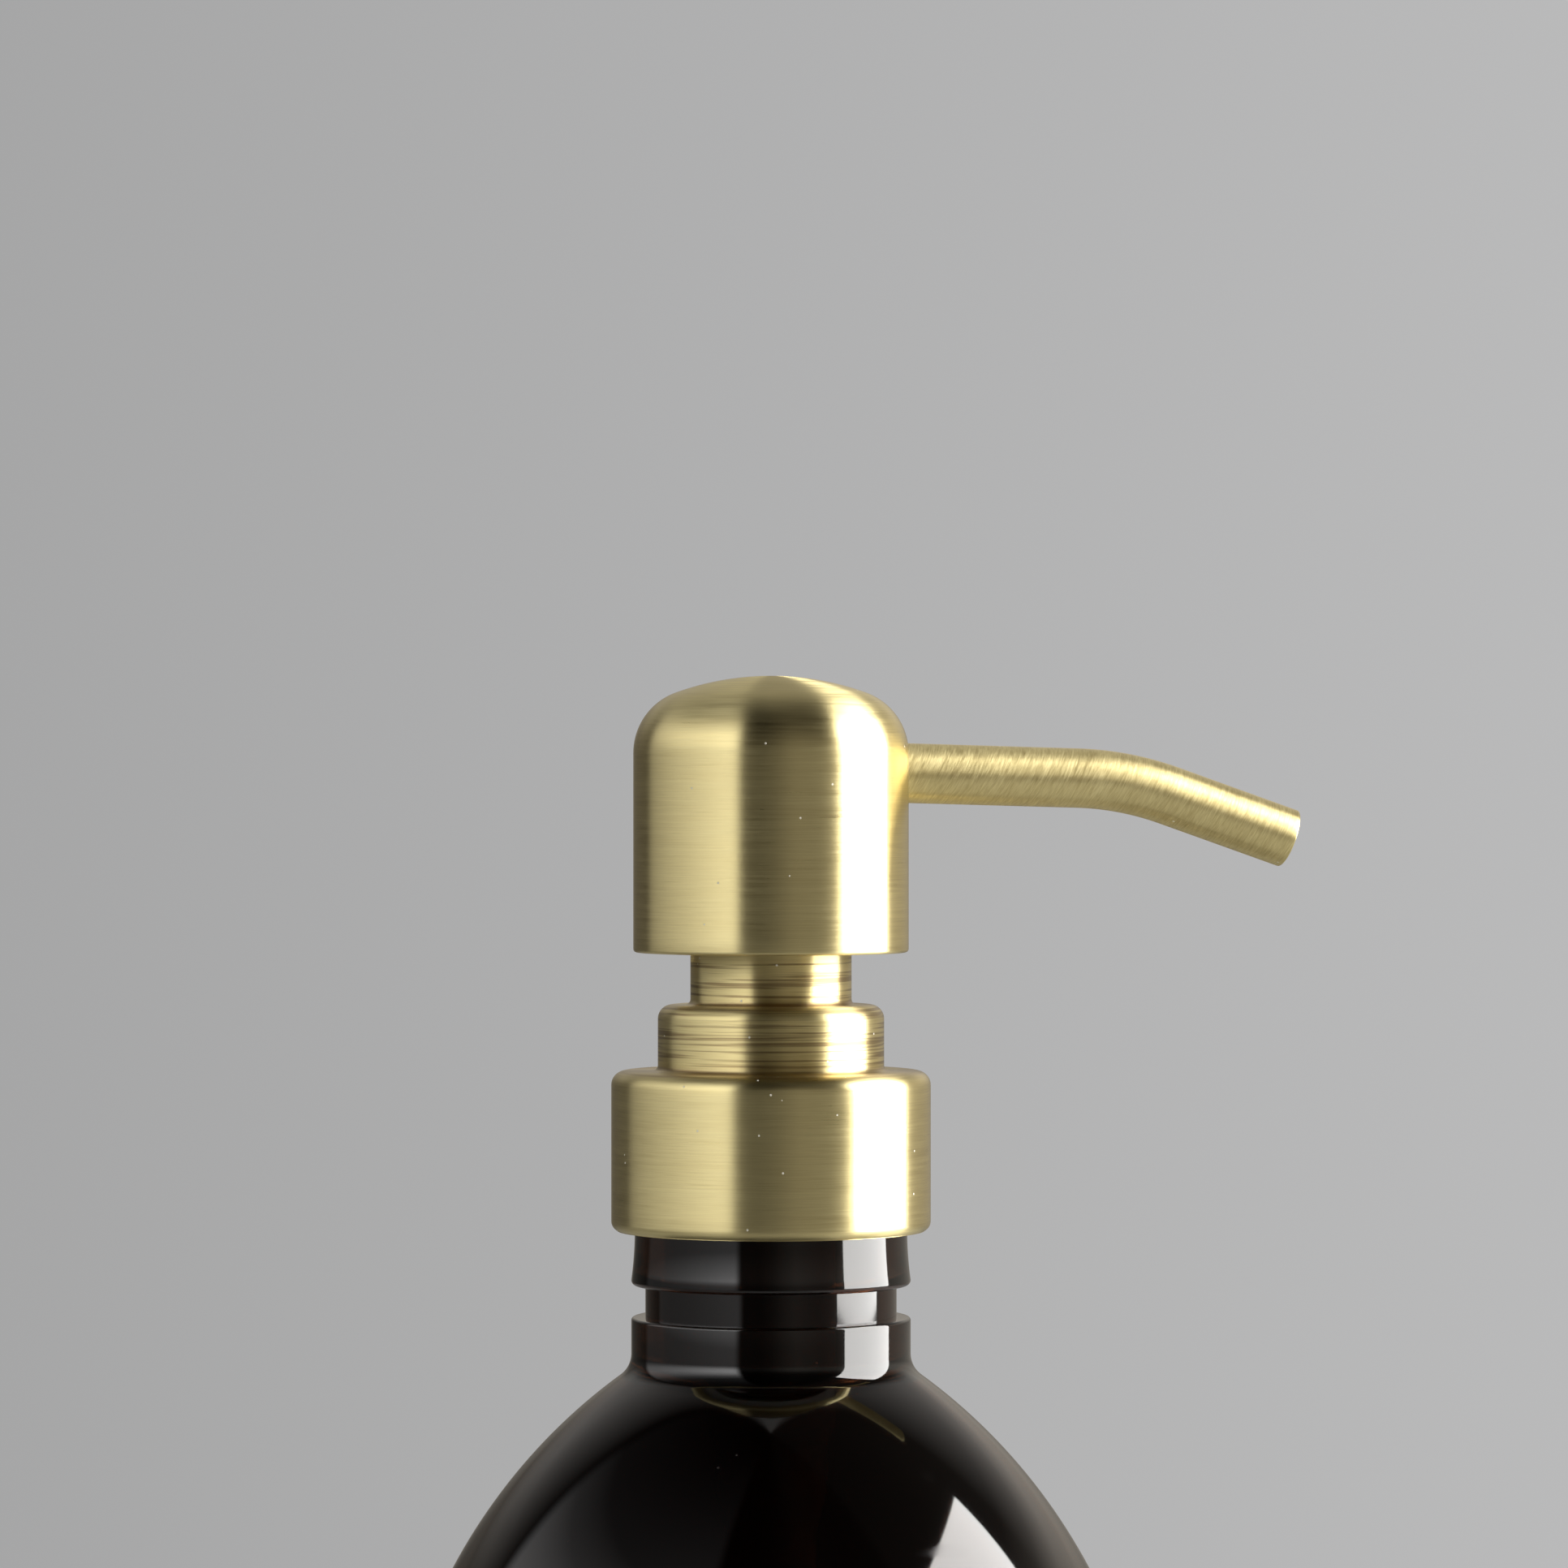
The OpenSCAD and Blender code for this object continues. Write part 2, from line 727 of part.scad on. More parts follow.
bottle();
neck_gasket();
pump_housing();
stem_guide();
guide_seal();
ball_cage();
inlet_ball();
dip_tube();
return_spring();
piston_body();
piston_seal();
stem();
outlet_ball();
collar_liner();
collar_shell();
head_core();
head_shell();
spout_tube();
spout_liner();
spout_seal();
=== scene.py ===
"""Soap pump dispenser: a brushed-brass pump on a dark amber bottle, with its stage."""

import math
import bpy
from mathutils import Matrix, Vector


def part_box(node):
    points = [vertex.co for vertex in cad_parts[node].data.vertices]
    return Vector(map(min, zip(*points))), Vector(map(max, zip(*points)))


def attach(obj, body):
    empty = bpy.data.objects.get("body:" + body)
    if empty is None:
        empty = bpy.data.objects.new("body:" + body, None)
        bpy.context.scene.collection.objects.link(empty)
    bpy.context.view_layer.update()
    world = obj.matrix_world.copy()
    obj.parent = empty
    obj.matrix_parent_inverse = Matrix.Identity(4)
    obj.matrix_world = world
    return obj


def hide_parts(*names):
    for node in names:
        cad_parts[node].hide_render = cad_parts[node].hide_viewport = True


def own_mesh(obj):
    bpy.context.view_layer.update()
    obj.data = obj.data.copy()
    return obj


bl_info = {
    "name": "Soap Pump Dispenser",
    "version": (1, 0, 0),
    "blender": (4, 5, 0),
    "location": "View3D > Sidebar > Soap Pump",
    "description": "Builds a brushed-brass soap pump on a dark amber bottle",
    "category": "Add Mesh",
}

import bmesh
import bpy
from bpy.props import FloatProperty, FloatVectorProperty, IntProperty, PointerProperty
from mathutils import Vector

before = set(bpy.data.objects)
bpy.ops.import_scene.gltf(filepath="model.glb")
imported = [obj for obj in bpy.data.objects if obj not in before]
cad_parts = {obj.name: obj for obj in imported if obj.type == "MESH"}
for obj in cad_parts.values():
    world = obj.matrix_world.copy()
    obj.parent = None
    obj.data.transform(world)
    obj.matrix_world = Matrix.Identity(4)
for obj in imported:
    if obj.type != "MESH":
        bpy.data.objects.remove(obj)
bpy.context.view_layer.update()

MM = 0.001
BOX_TOLERANCE = 0.15 * MM
SAME_POINT = 1e-7
SHARP_ANGLE = math.radians(35)


# ---------- Sizes and colours that a user may change ----------


def length(name, description, millimetres):
    """A length property with its default in millimetres."""
    return FloatProperty(
        name=name, description=description, default=millimetres * MM, min=0.0, precision=5,
        subtype="DISTANCE", unit="LENGTH",
    )


def angle(name, description, degrees):
    """An angle property with its default in degrees."""
    return FloatProperty(
        name=name, description=description, default=math.radians(degrees),
        subtype="ANGLE", unit="ROTATION",
    )


def colour(name, description, default):
    """A linear colour property."""
    return FloatVectorProperty(
        name=name, description=description, default=default, size=3, min=0.0, max=1.0,
        subtype="COLOR",
    )


def share(name, description, default, highest=1.0):
    """A plain number from 0 up."""
    return FloatProperty(
        name=name, description=description, default=default, min=0.0, max=highest,
    )


class BottleSizes(bpy.types.PropertyGroup):
    """Sizes of the moulded bottle, whose height and width come from the frame"""

    wall: length("Wall", "Thickness of the body's wall", 1.0)
    base: length("Base", "Thickness at the middle of the base", 1.6)
    push_up: length("Push-up", "Depth of the hollow under the base", 2.2)
    heel: length("Heel", "Radius of the rounded heel", 7.0)
    stand: length("Stand", "Radius of the ring that the bottle stands on, in from the heel", 8.0)
    shoulder: length("Shoulder", "Radius of the long curve of the shoulder", 57.0)
    neck: length("Neck", "Radius of the neck at the root of its thread", 12.55)
    neck_wall: length("Neck wall", "Wall of the neck at the root of its thread", 1.7)
    neck_height: length("Neck height", "Height of the neck from the ledge to the lip", 20.5)
    ledge_out: length("Ledge", "How far the ledge and the bead stand out from the neck", 1.4)
    ledge_height: length("Ledge height", "Height of the ledge's straight wall", 3.6)
    ledge_curve: length("Ledge curve", "Radius of the curve from the ledge to the shoulder", 2.8)
    ledge_edge: length("Ledge edge", "Radius of the ledge's upper edge", 0.3)
    bead_gap: length("Bead gap", "Gap between the ledge and the bead", 3.2)
    bead_height: length("Bead height", "Height of the bead", 6.3)
    bead_edge: length("Bead edge", "Radius of the bead's lower edge", 0.5)
    bead_flare: length("Bead flare", "How much the bead widens towards its lower edge", 0.35)
    lip_edge: length("Lip edge", "Radius of the lip's edges", 0.6)
    thread_depth: length("Thread depth", "Height of the thread's crest over its root", 1.15)
    thread_pitch: length("Thread pitch", "Rise of the thread in one turn", 4.233)
    thread_down: length("Thread start", "Distance from the lip down to the thread's upper end", 2.2)
    thread_turns: share("Thread turns", "Turns of thread on the neck", 1.5, 3.0)


class CollarSizes(bpy.types.PropertyGroup):
    """Sizes of the drawn brass collar, whose height and width come from the frame"""

    wall: length("Wall", "Wall of the drawn brass", 0.6)
    height: length("Collar height", "Height of the wide screw collar", 16.0)
    step: length("Step", "Radius of the middle step", 11.3)
    step_height: length("Step height", "Height of the middle step", 6.6)
    sleeve: length("Sleeve", "Radius of the narrow sleeve", 8.05)
    round: length("Shoulder", "Radius of the rounded shoulders", 1.4)
    foot: length("Foot", "Radius of the rolled foot", 1.0)
    fillet: length("Fillet", "Radius of the hollow curves", 0.55)
    lip: length("Lip", "Radius of the sleeve's upper edge", 0.15)


class HeadSizes(bpy.types.PropertyGroup):
    """Sizes of the brass dome, whose height and width come from the frame"""

    wall: length("Wall", "Wall of the brass dome", 0.7)
    crown: length("Crown", "Radius of the dome's crown", 28.0)
    corner: length("Corner", "Radius of the curve between the crown and the side", 6.4)


class SpoutSizes(bpy.types.PropertyGroup):
    """Sizes of the bent spout, which is placed from the top of the dome"""

    outer: length("Outer radius", "Outer radius of the brass tube", 3.0)
    wall: length("Wall", "Wall of the brass tube", 0.5)
    liner_wall: length("Liner wall", "Wall of the plastic tube inside", 0.6)
    liner_gap: length("Liner gap", "Gap between the two tubes", 0.05)
    liner_inset: length("Liner inset", "How far the plastic tube ends inside the tip", 0.6)
    root: length("Root", "Distance from the pump's axis to the tube's hidden end", 4.5)
    bend_at: length("Bend", "Distance from the pump's axis to the bend", 36.5)
    reach: length("Reach", "Distance from the pump's axis to the middle of the tip", 53.7)
    drop: length("Drop", "Height of the bend under the top of the dome", 10.34)
    bend: length("Bend radius", "Radius of the bend", 32.0)
    lip: length("Lip", "Radius of the tip's edges", 0.12)
    fall: angle("Fall", "Fall of the first stretch", 1.6)
    tip_fall: angle("Tip fall", "Fall of the last stretch", 19.2)


class Finishes(bpy.types.PropertyGroup):
    """Colours and finishes"""

    brass: colour("Brass", "Colour of the lacquered brass", (0.90, 0.775, 0.40))
    brass_dark: colour("Brass grain", "Colour in the grooves of the grain", (0.58, 0.45, 0.18))
    patina: colour("Patina", "Brown of the turned lines and hollow curves", (0.17, 0.075, 0.035))
    amber: colour("Amber", "Tint of the bottle's plastic", (0.05, 0.016, 0.006))
    milky: colour("Milky plastic", "Colour of the pump's plastic parts", (0.80, 0.80, 0.76))
    core: colour("Core plastic", "Colour of the inserts inside the brass", (0.70, 0.69, 0.64))
    seal: colour("Seals", "Colour of the soft seals", (0.55, 0.54, 0.49))
    steel: colour("Steel", "Colour of the spring and the balls", (0.62, 0.63, 0.64))
    dust: colour("Dust", "Colour of dust and lint", (0.75, 0.74, 0.70))
    brass_roughness: share("Brass roughness", "Roughness of the brushed brass", 0.3)


class StageSizes(bpy.types.PropertyGroup):
    """The camera, the backdrop and the floor"""

    azimuth: angle("Azimuth", "Turn of the camera around the object", -12.0)
    distance: length("Distance", "Distance from the camera to the pump's axis", 632.0)
    height: length("Height", "Height of the camera", 195.7)
    sideways: length("Sideways", "How far the camera stands to its right", 1.3)
    lens: FloatProperty(
        name="Lens", description="Focal length", default=145.3, min=1.0, unit="CAMERA",
    )
    floor: length("Floor", "Radius of the floor", 800.0)
    backdrop: colour("Backdrop", "Colour behind the object", (0.435, 0.435, 0.437))
    floor_colour: colour("Floor colour", "Colour of the floor", (0.36, 0.36, 0.352))
    segments: IntProperty(
        name="Segments", description="Faces around a turned piece", default=192, min=24,
    )


# The room's light is a sum of layers. Each is a brightness by the turn from the camera in degrees,
# times one by height, from -1 straight down to 1 straight up, times a tint.
WARM_ROOM = (
    (
        (-180, 0.42), (-160, 0.14), (-126, 0.07), (-30, 0.06), (-9, 0.05), (1, 0.09), (21, 0.28),
        (43, 0.20), (57, 0.27), (62, 0.50), (110, 0.60), (127, 0.55), (160, 0.50), (180, 0.42),
    ),
    (
        (-1.0, 0.30), (-0.2, 0.60), (0.0, 0.62), (0.12, 1.10), (0.25, 1.05), (0.37, 0.40),
        (0.5, 0.14), (1.0, 0.05),
    ),
    (1.0, 0.92, 0.80),
)
LEFT_WALL = (
    (
        (-180, 0.0), (-126, 0.0), (-121, 0.30), (-105, 0.42), (-76, 0.72), (-52, 1.05),
        (-40, 1.22), (-30, 1.30), (-25, 0.0), (180, 0.0),
    ),
    (
        (-1.0, 0.0), (-0.2, 0.30), (0.0, 0.36), (0.1, 1.15), (0.2, 2.20), (0.35, 2.60),
        (0.5, 1.60), (0.62, 0.55), (0.74, 0.12), (1.0, 0.0),
    ),
    (1.0, 1.0, 1.0),
)
HIGH_BACK = (
    ((-180, 0.40), (-150, 0.40), (-125, 0.0), (125, 0.0), (150, 0.40), (180, 0.40)),
    ((-1.0, 0.0), (0.15, 0.0), (0.35, 0.80), (0.80, 1.10), (0.95, 0.90), (1.0, 0.80)),
    (1.0, 0.98, 0.94),
)

GROUPS = {
    "pump_bottle": BottleSizes,
    "pump_collar": CollarSizes,
    "pump_head": HeadSizes,
    "pump_spout": SpoutSizes,
    "pump_finish": Finishes,
    "pump_stage": StageSizes,
}


# ---------- Mesh tools ----------


def arc(centre, radius, start, end, steps=8):
    """Points on an arc between two angles in degrees, both ends included."""
    turns = [math.radians(start + (end - start) * k / steps) for k in range(steps + 1)]
    return [(centre[0] + radius * math.cos(t), centre[1] + radius * math.sin(t)) for t in turns]


def stretch(start, end, steps):
    """Points along a straight line, without its last one."""
    return [
        tuple(start[axis] + (end[axis] - start[axis]) * k / steps for axis in (0, 1))
        for k in range(steps)
    ]


def distinct(points):
    """The points of a closed outline, without those that repeat the one before."""
    kept = []
    for point in points:
        if not kept or math.dist(point, kept[-1]) > SAME_POINT:
            kept.append(point)
    if math.dist(kept[0], kept[-1]) <= SAME_POINT:
        kept.pop()
    return kept


def join_rings(shape, rings, closed):
    """Faces between rings of vertices. A ring of one vertex is a point on the axis."""
    following = rings[1:] + rings[:1] if closed else rings[1:]
    for first, second in zip(rings, following):
        count = max(len(first), len(second))
        for k in range(count):
            corners = []
            for vertex in (
                first[k % len(first)], first[(k + 1) % len(first)],
                second[(k + 1) % len(second)], second[k % len(second)],
            ):
                if vertex not in corners:
                    corners.append(vertex)
            if len(corners) > 2:
                shape.faces.new(corners)


def cross_ring(shape, point, direction, radius, segments):
    """A ring of vertices around a point, square to a direction in the plane of the spout."""
    side = Vector((0.0, 1.0, 0.0))
    up = direction.cross(side)
    turns = [2 * math.pi * k / segments for k in range(segments)]
    return [
        shape.verts.new(point + radius * (math.cos(t) * side + math.sin(t) * up)) for t in turns
    ]


def finish_mesh(name, shape):
    """A smooth object from a bmesh, with sharp edges where its faces meet at a steep angle."""
    bmesh.ops.recalc_face_normals(shape, faces=shape.faces)
    for face in shape.faces:
        face.smooth = True
    for edge in shape.edges:
        if len(edge.link_faces) == 2:
            edge.smooth = edge.calc_face_angle(0.0) < SHARP_ANGLE
    mesh = bpy.data.meshes.new(name)
    shape.to_mesh(mesh)
    shape.free()
    piece = bpy.data.objects.new(name, mesh)
    bpy.context.collection.objects.link(piece)
    return piece


def add_lathe(shape, outline, segments):
    """Turn a closed outline of (radius, height) points around the Z axis."""
    rings = []
    for radius, height in distinct(outline):
        if radius < SAME_POINT:
            rings.append([shape.verts.new((0.0, 0.0, height))])
            continue
        turns = [2 * math.pi * k / segments for k in range(segments)]
        rings.append([
            shape.verts.new((radius * math.cos(t), radius * math.sin(t), height)) for t in turns
        ])
    join_rings(shape, rings, closed=True)


def lathe(name, outline, segments):
    """A turned piece."""
    shape = bmesh.new()
    add_lathe(shape, outline, segments)
    return finish_mesh(name, shape)


def check_box(piece, node):
    """Stop if a piece strays from the box of the CAD node that it stands for."""
    low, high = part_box(node)
    corners = [vertex.co for vertex in piece.data.vertices]
    for k in range(3):
        values = [corner[k] for corner in corners]
        if min(values) < low[k] - BOX_TOLERANCE or max(values) > high[k] + BOX_TOLERANCE:
            raise RuntimeError(f"{piece.name} leaves the box of {node} along axis {k}")


def place(piece, node, body, slot, material):
    """Put a finished piece in the frame, in place of its CAD node."""
    check_box(piece, node)
    piece.data.materials.append(material)
    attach(piece, body)
    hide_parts(node)


# ---------- Shader tools ----------


class Shader:
    """A node tree with short calls for its nodes.

    A value is a number, a colour or another node's socket."""

    def __init__(self, tree):
        self.tree = tree

    def add(self, kind, **settings):
        node = self.tree.nodes.new(kind)
        node.location = (180 * len(self.tree.nodes), 0)
        for key, value in settings.items():
            setattr(node, key, value)
        return node

    def feed(self, socket, value):
        if isinstance(value, bpy.types.NodeSocket):
            self.tree.links.new(value, socket)
        elif hasattr(socket.default_value, "__len__") and len(socket.default_value) == 4:
            socket.default_value = (*value, 1.0)
        else:
            socket.default_value = value

    def math(self, operation, first, second=0.0, clamp=False):
        node = self.add("ShaderNodeMath", operation=operation, use_clamp=clamp)
        self.feed(node.inputs[0], first)
        self.feed(node.inputs[1], second)
        return node.outputs[0]

    def vector(self, operation, first, second):
        node = self.add("ShaderNodeVectorMath", operation=operation)
        self.feed(node.inputs[0], first)
        self.feed(node.inputs[1], second)
        return node.outputs["Value" if operation == "DOT_PRODUCT" else "Vector"]

    def combine(self, x, y, z):
        node = self.add("ShaderNodeCombineXYZ")
        for socket, value in zip(node.inputs, (x, y, z)):
            self.feed(socket, value)
        return node.outputs[0]

    def separate(self, vector):
        node = self.add("ShaderNodeSeparateXYZ")
        self.feed(node.inputs[0], vector)
        return node.outputs

    def place(self):
        return self.add("ShaderNodeTexCoord").outputs["Object"]

    def noise(self, vector, scale=1.0, detail=2.0, roughness=0.5):
        node = self.add("ShaderNodeTexNoise")
        self.feed(node.inputs["Vector"], vector)
        self.feed(node.inputs["Scale"], scale)
        self.feed(node.inputs["Detail"], detail)
        self.feed(node.inputs["Roughness"], roughness)
        return node.outputs["Fac"]

    def span(self, value, low, high, to_low=0.0, to_high=1.0, smooth=False):
        kind = "SMOOTHSTEP" if smooth else "LINEAR"
        node = self.add("ShaderNodeMapRange", interpolation_type=kind)
        for socket, number in zip(node.inputs, (value, low, high, to_low, to_high)):
            self.feed(socket, number)
        return node.outputs[0]

    def curve(self, value, low, high, stops):
        """A value read off a line through stops of (place, height)."""
        ramp = self.add("ShaderNodeValToRGB")
        self.feed(ramp.inputs[0], self.span(value, low, high))
        elements = ramp.color_ramp.elements
        while len(elements) < len(stops):
            elements.new(1.0)
        for element, (place, height) in zip(elements, stops):
            element.position = (place - low) / (high - low)
            element.color = (height, height, height, 1.0)
        return ramp.outputs["Color"]

    def near(self, value, middle, width):
        """1 at a middle value, fading to 0 at a width on each side."""
        away = self.math("ABSOLUTE", self.math("SUBTRACT", value, middle))
        return self.span(away, 0.0, width, 1.0, 0.0, smooth=True)

    def mix(self, factor, first, second):
        node = self.add("ShaderNodeMix", data_type="RGBA")
        self.feed(node.inputs["Factor"], factor)
        self.feed(node.inputs[6], first)
        self.feed(node.inputs[7], second)
        return node.outputs[2]

    def use(self, group, **values):
        node = self.add("ShaderNodeGroup", node_tree=group)
        for name, value in values.items():
            self.feed(node.inputs[name.replace("_", " ").capitalize()], value)
        return node.outputs

    def bump(self, height, strength, distance):
        node = self.add("ShaderNodeBump")
        self.feed(node.inputs["Height"], height)
        node.inputs["Strength"].default_value = strength
        node.inputs["Distance"].default_value = distance
        return node.outputs[0]


def shader_group(name, inputs, outputs, fill):
    """A node group, built once.

    fill gets the shader and the input sockets, and returns the output values."""
    if name in bpy.data.node_groups:
        return bpy.data.node_groups[name]
    tree = bpy.data.node_groups.new(name, "ShaderNodeTree")
    for title, default in inputs.items():
        kind = "NodeSocketVector" if default is None else "NodeSocketFloat"
        socket = tree.interface.new_socket(name=title, in_out="INPUT", socket_type=kind)
        if default is not None:
            socket.default_value = default
    for title in outputs:
        tree.interface.new_socket(name=title, in_out="OUTPUT", socket_type="NodeSocketFloat")
    shader = Shader(tree)
    start = shader.add("NodeGroupInput")
    end = shader.add("NodeGroupOutput")
    for socket, value in zip(end.inputs, fill(shader, start.outputs)):
        shader.feed(socket, value)
    return tree


def brushed_grain():
    """Fine brush lines around local Z.

    Across and Along are how many lines fit in a metre each way."""

    def fill(shader, given):
        place, across, along = given["Place"], given["Across"], given["Along"]

        def lines(share_across, share_along, detail):
            a = shader.math("MULTIPLY", along, share_along)
            scale = shader.combine(a, a, shader.math("MULTIPLY", across, share_across))
            return shader.noise(shader.vector("MULTIPLY", place, scale), detail=detail)

        fine = lines(1.0, 1.0, 2.0)
        broad = lines(0.22, 0.2, 3.0)
        both = shader.math(
            "ADD", shader.math("MULTIPLY", fine, 0.68), shader.math("MULTIPLY", broad, 0.32)
        )
        grain = shader.span(both, 0.32, 0.68)
        scratches = shader.span(lines(0.45, 0.7, 1.0), 0.67, 0.74)
        height = shader.math("ADD", grain, shader.math("MULTIPLY", scratches, -0.6))
        return grain, scratches, height

    return shader_group(
        "Brushed grain", {"Place": None, "Across": 9000.0, "Along": 45.0},
        ("Grain", "Scratches", "Height"), fill,
    )


def dust():
    """Sparse specks.

    Cells is how many cells fit in a metre, Size a speck's share of a cell, Share how many show."""

    def fill(shader, given):
        cells = shader.add("ShaderNodeTexVoronoi")
        shader.feed(cells.inputs["Vector"], given["Place"])
        shader.feed(cells.inputs["Scale"], given["Cells"])
        small = shader.math("LESS_THAN", cells.outputs["Distance"], given["Size"])
        pick = shader.separate(cells.outputs["Color"])[0]
        rare = shader.math("LESS_THAN", pick, given["Share"])
        return (shader.math("MULTIPLY", small, rare),)

    return shader_group(
        "Dust", {"Place": None, "Cells": 900.0, "Size": 0.1, "Share": 0.1}, ("Specks",), fill
    )


def mottle():
    """Soft uneven patches, with Patches of them in a metre."""

    def fill(shader, given):
        patches = shader.noise(given["Place"], scale=given["Patches"], detail=3.0, roughness=0.55)
        return (shader.span(patches, 0.3, 0.7),)

    return shader_group("Mottle", {"Place": None, "Patches": 120.0}, ("Patch",), fill)


def edge_wear():
    """Where the surface turns outwards sharply, broken up along the edge."""

    def fill(shader, given):
        sharp = shader.add("ShaderNodeNewGeometry").outputs["Pointiness"]
        edge = shader.span(sharp, given["Start"], shader.math("ADD", given["Start"], 0.06))
        broken = shader.span(shader.noise(given["Place"], scale=900.0), 0.35, 0.6)
        return (shader.math("MULTIPLY", edge, broken),)

    return shader_group("Edge wear", {"Place": None, "Start": 0.52}, ("Wear",), fill)


def new_material(name):
    """An empty material. Returns it, its shader and its Principled node."""
    material = bpy.data.materials.new(name)
    material.use_nodes = True
    shader = Shader(material.node_tree)
    return material, shader, material.node_tree.nodes["Principled BSDF"]


# ---------- Materials ----------


def brass_material(
    name, across, along, lean=0.0, turned=None, contrast=0.4, stretch=0.95, extra=0.03
):
    """Brushed lacquered brass, brushed around Z, or around an axis that leans away from it.

    turned gives the heights of the coarse turned lines and of the stained hollows, contrast how
    dark the grooves are, stretch how far the brushing draws out a reflection, and extra how much
    rougher than Brass roughness it is."""
    finish = bpy.context.scene.pump_finish
    material, shader, principled = new_material(name)
    place = shader.place()
    if lean:
        turn = shader.add("ShaderNodeMapping")
        shader.feed(turn.inputs["Vector"], place)
        turn.inputs["Rotation"].default_value = (0.0, lean, 0.0)
        brushed = turn.outputs[0]
    else:
        brushed = place
    grain = shader.use(brushed_grain(), place=brushed, across=across, along=along)
    patch = shader.use(mottle(), place=place, patches=70.0)["Patch"]
    tone = shader.math("MULTIPLY", shader.math("SUBTRACT", 1.0, grain["Grain"]), contrast)
    base = shader.mix(tone, finish.brass, finish.brass_dark)
    base = shader.mix(shader.math("MULTIPLY", grain["Scratches"], 0.15), base, finish.brass_dark)
    smooth = finish.brass_roughness + extra - 0.07
    rough = shader.math("ADD", shader.math("MULTIPLY", grain["Grain"], 0.10), smooth)
    rough = shader.math("ADD", rough, shader.math("MULTIPLY", patch, 0.05))
    height = grain["Height"]
    if turned:
        level = shader.separate(place)[2]
        upper = shader.span(level, turned["start"], turned["start"] + 0.6 * MM)
        coarse = shader.use(
            brushed_grain(), place=place, across=across * 0.4, along=along * 0.35
        )["Grain"]
        dark = shader.math("MULTIPLY", upper, shader.span(coarse, 0.52, 0.25))
        stain = shader.near(level, turned["foot"], 0.75 * MM)
        for middle, width in turned["lines"]:
            stain = shader.math("MAXIMUM", stain, shader.near(level, middle, width))
        stain = shader.math("MULTIPLY", stain, shader.span(coarse, 0.2, 0.7, 1.0, 0.45))
        brown = shader.math(
            "MAXIMUM", shader.math("MULTIPLY", dark, 0.6), shader.math("MULTIPLY", stain, 0.75)
        )
        base = shader.mix(brown, base, finish.patina)
        rough = shader.math("ADD", rough, shader.math("MULTIPLY", upper, 0.04))
        grooves = shader.math("MULTIPLY", shader.math("MULTIPLY", upper, coarse), 1.6)
        height = shader.math("ADD", height, grooves)
    wear = shader.use(edge_wear(), place=place)["Wear"]
    base = shader.mix(shader.math("MULTIPLY", wear, 0.35), base, (0.95, 0.86, 0.52))
    specks = shader.use(dust(), place=place, cells=900.0, size=0.1, share=0.09)["Specks"]
    base = shader.mix(shader.math("MULTIPLY", specks, 0.8), base, (0.95, 0.93, 0.85))
    shader.feed(principled.inputs["Metallic"], shader.span(specks, 0.0, 1.0, 1.0, 0.3))
    rough = shader.math("ADD", rough, shader.math("MULTIPLY", specks, 0.3))
    shader.feed(principled.inputs["Base Color"], base)
    shader.feed(principled.inputs["Roughness"], rough)
    shader.feed(principled.inputs["Normal"], shader.bump(height, 0.25, 0.012 * MM))
    principled.inputs["Anisotropic"].default_value = stretch
    draw_out = (lean or math.pi / 2) / (2 * math.pi)
    principled.inputs["Anisotropic Rotation"].default_value = draw_out
    if lean:
        axis = shader.add(
            "ShaderNodeVectorTransform",
            vector_type="VECTOR", convert_from="OBJECT", convert_to="WORLD",
        )
        axis.inputs[0].default_value = (1.0, 0.0, 0.0)
        normal = shader.add("ShaderNodeNewGeometry").outputs["Normal"]
        direction = shader.vector("CROSS_PRODUCT", axis.outputs[0], normal)
    else:
        direction = shader.add("ShaderNodeTangent", direction_type="RADIAL", axis="Z").outputs[0]
    shader.feed(principled.inputs["Tangent"], direction)
    return material


def amber_material():
    """Glossy, nearly black amber plastic with a little dust and rub marks."""
    finish = bpy.context.scene.pump_finish
    material, shader, principled = new_material("Amber plastic")
    place = shader.place()
    patch = shader.use(mottle(), place=place, patches=35.0)["Patch"]
    specks = shader.use(dust(), place=place, cells=520.0, size=0.07, share=0.03)["Specks"]
    rubbed = shader.use(brushed_grain(), place=place, across=700.0, along=160.0)["Scratches"]
    darker = [0.8 * channel for channel in finish.amber]
    base = shader.mix(shader.math("MULTIPLY", patch, 0.25), finish.amber, darker)
    base = shader.mix(specks, base, finish.dust)
    rough = shader.math("ADD", shader.math("MULTIPLY", patch, 0.02), 0.035)
    rough = shader.math("ADD", rough, shader.math("MULTIPLY", rubbed, 0.05))
    rough = shader.math("ADD", rough, shader.math("MULTIPLY", specks, 0.5))
    shader.feed(principled.inputs["Base Color"], base)
    shader.feed(principled.inputs["Roughness"], rough)
    wave = shader.noise(place, scale=28.0, detail=1.0)
    shader.feed(principled.inputs["Normal"], shader.bump(wave, 0.4, 0.12 * MM))
    principled.inputs["IOR"].default_value = 1.57
    principled.inputs["Transmission Weight"].default_value = 1.0
    return material


